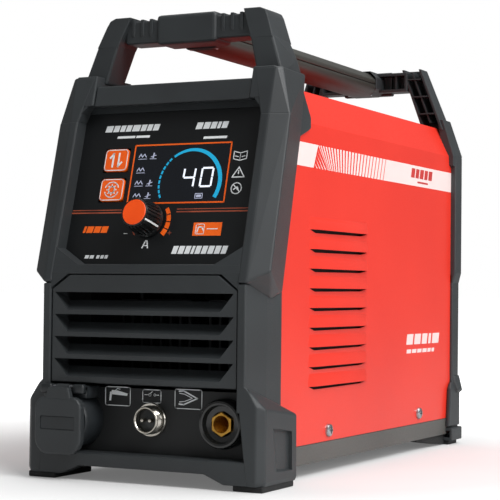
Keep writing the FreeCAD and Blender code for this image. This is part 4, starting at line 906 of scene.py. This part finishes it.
# Open book, warning triangle and no-entry ring: the usual signs, with no words.
for sign in (-1, 1):
    page = [(45.9, 73.2), (45.9 + sign * 4.1, 74.2), (45.9 + sign * 4.1, 78.6), (45.9, 77.6)]
    white += stroke(page, 0.5, PANEL, closed=True)
    white += stroke([(45.9 + sign * 1.2, 75.4), (45.9 + sign * 3, 75.8)], 0.45, PANEL)
white += stroke([(42.4, 63.4), (50, 63.4), (46.2, 69.2)], 0.6, PANEL, closed=True)
white += stroke([(46.2, 65.4), (46.2, 67.2)], 0.6, PANEL)
white += stroke(arc(46.1, 56.8, 3.2, 0, 350, 20), 0.55, PANEL, closed=True)
white += stroke([(44.1, 58.9), (48.3, 54.7)], 0.55, PANEL)
white += stroke([(44.6, 56.2), (46.6, 57.6), (47.4, 56)], 0.7, PANEL)
# Plain slanted blocks stand where a machine has its lettering.
for start, up, tall, lengths in (
        (-46, 93.2, 3.9, (4.6, 3.8, 3.2, 3.4, 5, 3.4, 3.2, 3.8)), (-37, 89, 1.4, (12, 9)),
        (14.6, 92.9, 4, (4, 4, 3.4, 2, 3.6)), (20.6, 86.8, 1.4, (15,)),
        (10.6, 18.9, 4.6, (3.2, 3.4, 3.2, 1.8, 3.2, 3.2, 3.4, 3.4, 3.2)),
        (-46.4, 16.2, 2, (2.6, 2.6)), (-38.6, 16.2, 2, (2, 2, 2))):
    white += [patch(outline, PANEL) for outline in dashes(start, up, tall, lengths)]
piece("panel_white_print", leaning(*white), print_white, slot="panel_film")

# ---- display ---------------------------------------------------------------------------------
# A liquid-crystal module behind a smoked acrylic lens: gauge ring, two figures, status symbols.
# Smoked acrylic: almost black, with a mirror-like gloss.
acrylic = finish("acrylic_smoked", "#12161d", "#0e1218", 80, (0.05, 0.08), 2.0, 0.002, IOR=1.49)
lens = ease(block((-23.1, PANEL - 0.05, 49.2), (39.0, PANEL + 1.4, 84)), 0.3)
piece("display_lens", leaning(lens), acrylic, nodes=["display_window"], slot="dark_lens")


def lit(name, colour, strength):
    """A lit segment of the display, which shines through the lens."""
    material = finish(name, colour, colour, 10, (0.3, 0.35), 1.0, 0.001)
    body = next(n for n in material.node_tree.nodes if n.type == "BSDF_PRINCIPLED")
    body.inputs["Emission Color"].default_value = linear(colour)
    body.inputs["Emission Strength"].default_value = strength
    return material


GLASS = PANEL - 0.05
GAUGE_X, GAUGE_Z, GAUGE_R = 15.9, 60.9, 20.5


def gauge_mark(start, end, thick):
    """One lit stretch of the ring between two angles."""
    return patch(arc(GAUGE_X, GAUGE_Z, GAUGE_R, start, end, 2)
                 + arc(GAUGE_X, GAUGE_Z, GAUGE_R - thick, end, start, 2), GLASS)


# A solid sweep that thickens over its first half, then nine short dashes.
SWEEP, STRETCHES = 156, 40
gauge = [gauge_mark(128 - SWEEP * i / STRETCHES, 128 - SWEEP * (i + 1.02) / STRETCHES,
                    1.35 + 1.1 * min(1, i / 22)) for i in range(STRETCHES)]
gauge += [gauge_mark(133 + 8.4 * i, 139 + 8.4 * i, 1.1) for i in range(9)]
piece("display_gauge", leaning(*gauge), lit("lcd_segment_cyan", "#1a9fca", 0.34), slot="dark_lens")

SEGMENTS = {"a": ((0.9, 11.1), (6.3, 11.1)), "b": ((7.1, 10.3), (7.1, 6.4)), "c": ((7.1, 4.9), (7.1, 0.9)),
            "d": ((0.9, 0.2), (6.3, 0.2)), "e": ((0.1, 4.9), (0.1, 0.9)), "f": ((0.1, 10.3), (0.1, 6.4)),
            "g": ((0.9, 5.6), (6.3, 5.6))}
figures = []
for x, bars in ((11.3, "fgbc"), (22.7, "abcdef")):
    for bar in bars:
        ends = [(x + px + (pz - 5) * 0.05, 58.2 + pz) for px, pz in SEGMENTS[bar]]
        figures += stroke(ends, 1.1, GLASS)
piece("display_figures", leaning(*figures), lit("lcd_segment_white", "#dde3ee", 0.7), slot="dark_lens")
symbols = stroke([(20.6, 51.4), (25.2, 51.4), (25.2, 54.2), (20.6, 54.2)], 0.35, GLASS, closed=True)
symbols += [patch([(21.4, 52.1), (24.4, 52.1), (24.4, 53.5), (21.4, 53.5)], GLASS)]
for low, count in ((75.8, 2), (67.4, 1), (59.4, 2), (51.8, 2)):
    symbols += stroke([(-20.2, low), (-14.8, low)], 0.3, GLASS)
    symbols += stroke([(-20, low + 1.2), (-18.9, low + 3), (-17.8, low + 1.2), (-16.4, low + 3),
                       (-15.2, low + 1.2)], 0.5, GLASS)
    if count == 2:
        symbols += stroke([(-12.6, low), (-8.4, low)], 0.3, GLASS)
        symbols += stroke([(-10.6, low + 0.8), (-10.2, low + 3.2)], 0.8, GLASS)
        symbols += stroke([(-12, low + 1.2), (-8.8, low + 2.2)], 0.4, GLASS)
piece("display_symbols", leaning(*symbols), lit("lcd_segment_dim", "#a9aec4", 0.35), slot="dark_lens")
keep("display_module", nylon_black)

# ---- buttons ---------------------------------------------------------------------------------
# Two square orange polycarbonate keys that stand just proud of the film, printed in white.
# Orange polycarbonate: saturated, smooth, a soft window-like gloss.
key_orange = finish("polycarbonate_orange", "#ff660e", "#f65e08", 18, (0.28, 0.36), 0.6, 0.006, IOR=1.58)
KEY_FRONT, KEY_X = PANEL - 0.9, -34.7
for name, node, body, low in (("mode_key_cap", "mode_button", "mode_key", 68.5),
                              ("gas_key_cap", "gas_test_button", "gas_key", 50.4)):
    cap = ease(prism(rounded(-42.6, low + 0.1, -26.8, low + 13.7, 2.4), KEY_FRONT, 3.2), 0.35, 2, 60)
    stem = block((-37.7, PANEL + 1.7, low + 4), (-31.7, PANEL + 6.9, low + 10))
    piece(name, leaning(cap, stem), key_orange, body, nodes=[node], slot="orange_plastic")
    marks = stroke(rounded(-42, low + 0.7, -27.4, low + 13.1, 2.0), 0.5, KEY_FRONT, closed=True)
    if body == "mode_key":
        marks += stroke([(-36.8, low + 3), (-36.8, low + 10.6), (-38.8, low + 8.4)], 1.15, KEY_FRONT)
        marks += stroke([(-33, low + 10.8), (-33, low + 3.2), (-31, low + 5.4)], 1.15, KEY_FRONT)
    else:
        middle = low + 6.9
        marks += stroke(arc(KEY_X, middle, 4.6, 20, 160, 12), 0.65, KEY_FRONT)
        marks += stroke(arc(KEY_X, middle, 4.6, 200, 340, 12), 0.65, KEY_FRONT)
        marks += stroke(arc(KEY_X, middle, 2.0, 0, 342, 18), 0.75, KEY_FRONT, closed=True)
        for i in range(8):
            tooth = [arc(KEY_X, middle, r, 45 * i, 45 * i, 1)[0] for r in (2.3, 3.1)]
            marks += stroke(tooth, 0.6, KEY_FRONT)
    piece(name + "_symbol", leaning(*marks), print_white, body, slot="orange_plastic")
keep("tact_switches", nylon_black)

# ---- knob ------------------------------------------------------------------------------------
# A fluted ABS knob pressed on the potentiometer's shaft, with an orange cap and one white line.
FLUTES = 26
knob_spot = Vector((-7.5, PANEL - 1, 38.6))
# Black ABS, polished by the mould, so that each flute catches a thin highlight.
knob_black = finish("abs_knob_black", "#191b1c", "#121314", 15, (0.22, 0.34), 0.4, 0.01, IOR=1.53)
core = lathe([(3.05, 0), (10.4, 0), (10.4, 1.4), (10.1, 2.0), (9.3, 2.3), (8.3, 14.2), (8.1, 14.8),
              (7.8, 15), (7.5, 15), (7.5, 12.4), (3.05, 12.4)], 64, loop=True)
piece("knob_core", leaning(facing(core, "front", knob_spot)), knob_black, "knob", nodes=["knob_body"],
      slot="black_plastic", smooth=30)
flute = ease(hull([(r, y, z) for z, r0, r1 in ((2.1, 8.9, 10.1), (14, 7.9, 8.95)) for r in (r0, r1)
                   for y in (-0.6, 0.6)]), 0.2)
row("knob_flutes", flute, FLUTES, knob_black, spin=(0, 0, 360 / FLUTES), place=ON_FACE @ knob_spot,
    tilt=(75, 0, 0), body="knob", slot="black_plastic")
cap = lathe([(0, -0.1), (7.4, -0.1), (7.4, 2.75), (7.15, 3.05), (0, 3.05)], 48)
# The cap's orange ABS is redder than the keys and less glossy.
knob_orange = finish("abs_cap_orange", "#ff560c", "#f85006", 20, (0.3, 0.4), 0.5, 0.008, IOR=1.53)
piece("knob_cap_disc", leaning(facing(cap, "front", knob_spot - Vector((0, 12.2, 0)))), knob_orange, "knob",
      nodes=["knob_cap"], slot="orange_plastic", smooth=30)
line = hull([(r, y, z) for y in (-0.5, 0.5) for r, z in ((9.6, 2.2), (10.3, 2.4), (8.2, 14.3), (9.15, 13.9))])
line = moved(line, Matrix.Rotation(math.radians(-27), 4, "Z"))
piece("knob_line", leaning(facing(line, "front", knob_spot)), print_white, "knob", slot="black_plastic")
keep("potentiometer", zinc)
keep("potentiometer_shaft", zinc)

# ---- rear panel ------------------------------------------------------------------------------
# The steel back plate, in the tray's grey coat; all that follows is fixed to it.
REAR = 158.7
keep("rear_panel", powder_grey)

# ---- fan -------------------------------------------------------------------------------------
# A moulded nylon axial fan of seven swept blades, behind a welded wire guard.
FAN, BLADES, SCREW_REACH = (0, 136.2, 128), 7, 41.25
HUB_R, TIP_R, SPANS, CHORDS = 15.8, 41.6, 5, 4
keep("fan_housing", nylon_black)
keep("fan_guard", zinc)
hub = lathe([(2.1, 0), (16.2, 0), (17, 1), (17, 17), (16, 18), (2.1, 18)], 48, loop=True)
piece("fan_hub", [facing(hub, "rear", FAN)], nylon_black, "fan", nodes=["fan_rotor"], slot="black_plastic",
      smooth=30)
blade = bmesh.new()
skins = []
for thick in (0, 1.3):
    skin = []
    for i in range(SPANS + 1):
        radius = HUB_R + (TIP_R - HUB_R) * i / SPANS
        twist, sweep = math.radians(46 - 4.5 * i), math.radians(4.0 * i)
        chord = []
        for j in range(CHORDS + 1):
            along = (j / CHORDS - 0.5) * (15 + 1.2 * i)
            camber = 1.6 * (1 - (2 * j / CHORDS - 1) ** 2)
            across = along * math.cos(twist) + (camber + thick) * math.sin(twist)
            up = (camber + thick) * math.cos(twist) - along * math.sin(twist)
            angle = across / radius + sweep
            chord.append(blade.verts.new((radius * math.cos(angle), radius * math.sin(angle), 9 + up)))
        skin.append(chord)
    skins.append(skin)
for skin in skins:
    for i in range(SPANS):
        for j in range(CHORDS):
            blade.faces.new([skin[i][j], skin[i + 1][j], skin[i + 1][j + 1], skin[i][j + 1]])
# A rim of faces joins the two skins all round the blade's edge.
rim = [(i, 0) for i in range(SPANS + 1)] + [(SPANS, j) for j in range(1, CHORDS + 1)]
rim += [(i, CHORDS) for i in range(SPANS - 1, -1, -1)] + [(0, j) for j in range(CHORDS - 1, 0, -1)]
for (i, j), (k, m) in zip(rim, rim[1:] + rim[:1]):
    blade.faces.new([skins[0][i][j], skins[0][k][m], skins[1][k][m], skins[1][i][j]])
bmesh.ops.recalc_face_normals(blade, faces=blade.faces)
row("fan_blades", blade, BLADES, nylon_black, spin=(0, 0, 360 / BLADES), place=FAN, tilt=(-90, 0, 0),
    body="fan", slot="black_plastic", smooth=40)

# ---- fan screws ------------------------------------------------------------------------------
# Four zinc-plated pan heads hold the guard and the fan's frame to the plate.
for level, up in (("low", FAN[2] - SCREW_REACH), ("high", FAN[2] + SCREW_REACH)):
    head = facing(pan_head(3.4, 2.2, 3.8), "rear", (0, 0, 0))
    row(f"fan_screws_{level}", head, 2, zinc, (2 * SCREW_REACH, 0, 0), place=(-SCREW_REACH, REAR, up),
        nodes=["fan_screws"], slot="zinc_steel", smooth=25)

# ---- power switch ----------------------------------------------------------------------------
# A snap-in rocker switch: a moulded nylon bezel and body round a dished black paddle.
bezel = carved(ease(block((-42, REAR - 0.2, 177.6), (-10, REAR + 2.4, 202.4)), 0.8, 3),
               block((-39, REAR - 5, 181), (-13, REAR + 5, 199)))
piece("switch_bezel", [bezel], nylon_black, slot="black_plastic")
keep("power_switch_body", nylon_black)
rocker = hull([(x, REAR - 1.2 + y, 190 + z) for x in (-38.3, -13.7) for y, z in (
    (-4, -3), (0.2, -7.7), (2.0, -7.6), (1.4, -3.6), (1.2, 0), (2.4, 4), (4.6, 7.4), (1.4, 7.7), (-4, 3))])
piece("rocker_paddle", [ease(rocker, 0.5)], knob_black, "rocker", nodes=["power_rocker"],
      slot="black_plastic")

# ---- cable gland -----------------------------------------------------------------------------
# A nylon gland with a ribbed dome nut, screwed through the plate; a nut holds it from inside.
GLAND, RIBS = (-36, REAR, 42), 16
gland = lathe([(5.6, -0.5), (9.8, -0.5), (13, 0), (13, 3.6), (12.4, 4.1), (11.4, 4.3), (11.2, 6), (10.2, 9),
               (8.6, 11.2), (7.8, 11.5), (5.6, 11.5)], 56, loop=True)
piece("gland_dome", [facing(gland, "rear", GLAND)], nylon_black, slot="black_plastic", smooth=35)
rib = ease(hull([(r, y, z) for y in (-0.7, 0.7) for r, z in (
    (10.4, 4.4), (12.2, 4.4), (11.6, 6.4), (10.5, 8.6), (9, 8.6))]), 0.25)
row("gland_ribs", rib, RIBS, nylon_black, spin=(0, 0, 360 / RIBS), place=GLAND, tilt=(-90, 0, 0),
    slot="black_plastic")
keep("cable_gland", nylon_black)
keep("cable_gland_nut", nylon_black)

# ---- air inlet -------------------------------------------------------------------------------
# A turned brass hose tail with four barbs, screwed into the valve behind the plate.
tail = [(2.6, -13), (6.2, -13), (6.2, 0), (8.3, 0.2), (8.3, 2.6), (7.6, 3.0), (3.4, 3.0)]
tail += [(r, 3.6 + 2.2 * i + t) for i in range(4) for r, t in ((4.0, 0), (3.3, 2.0))]
tail += [(3.0, 12.6), (2.6, 12.6)]
piece("air_tail", [facing(lathe(tail, 40, loop=True), "rear", (36, REAR, 42))], brass,
      nodes=["air_inlet_tail"], slot="brass", smooth=25)

# ---- earth stud ------------------------------------------------------------------------------
# A zinc-plated M6 stud with a nut and washer, for the workshop's earth lead.
keep("earth_nut", zinc)
stud = [(0, -7), (2.5, -7), (2.5, 0), (6, 0.05), (6, 1.0), (2.5, 1.1)]
stud += thread(2.95, 1.2, 10.4, 1.0, 0.4) + [(2.4, 10.6), (0, 10.8)]
piece("earth_stud_thread", [facing(lathe(stud, 32), "rear", (0, REAR, 28))], zinc, nodes=["earth_stud"],
      slot="zinc_steel", smooth=30)

# ---- inside ----------------------------------------------------------------------------------
# What shows through the slots: extruded aluminium sinks, glass-fibre boards and the wound parts.
# Black anodised aluminium has a dark satin sheen, drawn out along the extrusion.
aluminium = finish("aluminium_black_anodised", "#2c2e30", "#222426", 12, (0.35, 0.5), 0.6, 0.01,
                   stretch=(3, 0.1, 3), Metallic=0.4)
# Solder mask is glassy green, enamelled wire coppery under lacquer, sintered ferrite dull grey.
board_green = finish("solder_mask_green", "#25613c", "#1c4c2f", 9, (0.25, 0.4), 0.8, 0.02)
copper_wire = finish("enamelled_copper_wire", "#b8692f", "#8f4b1f", 2, (0.25, 0.4), 0.8, 0.1, Metallic=0.8)
ferrite = finish("ferrite_sintered", "#3b3b3d", "#2c2c2e", 5, (0.5, 0.7), 0.4, 0.03)
# Shrink sleeve is a smooth navy film, and hose rubber a dull black.
sleeve = finish("shrink_sleeve_navy", "#233a58", "#1b2e48", 20, (0.25, 0.4), 1.0, 0.02)
hose_rubber = finish("hose_rubber_black", "#202327", "#17191c", 10, (0.5, 0.65), 0.8, 0.05)
for node, material, slot in (
        ("left_heatsink", aluminium, "aluminium"), ("right_heatsink", aluminium, "aluminium"),
        ("main_board", board_green, "circuit_board"), ("control_board", board_green, "circuit_board"),
        ("board_posts", oxide, "zinc_steel"), ("board_spacers", nylon_black, "black_plastic"),
        ("power_transistors", nylon_black, "black_plastic"),
        ("filter_capacitors", sleeve, "capacitor_sleeve"),
        ("transformer_core", ferrite, "ferrite"), ("transformer_winding", copper_wire, "copper"),
        ("precharge_relay", nylon_black, "black_plastic"), ("output_choke", copper_wire, "copper"),
        ("solenoid_valve", nylon_black, "black_plastic"), ("air_hose", hose_rubber, "hose_rubber"),
        ("handle_screws", zinc, "zinc_steel")):
    keep(node, material)

# ---- painted shade sheets --------------------------------------------------------------------
# Black sheets stand just inside the cover as painted shade, darkening what the slots show of its lit inside;
# a strip at the back fills the gap beside the rear plate. They are matt and swallow the light.
painted_shade_black = finish("painted_shade_sheet_black", "#17181a", "#101112", 30, (0.6, 0.75), 0.6, 0.03)
sheets = []
for side in (-1, 1):
    inner, outer = sorted((side * 60.2, side * 60.6))
    sheets += [block((inner, Y0 + 42.6, 22), (outer, Y0 + 300, 111)),
               block((inner, Y0 + 66, 110.8), (outer, Y0 + 300, 152))]
    inner, outer = sorted((side * 59.9, side * 62.5))
    sheets.append(block((inner, 157.4, 12), (outer, 158.6, 200)))
piece("painted_shade_sheets", sheets, painted_shade_black, slot="black_plastic")
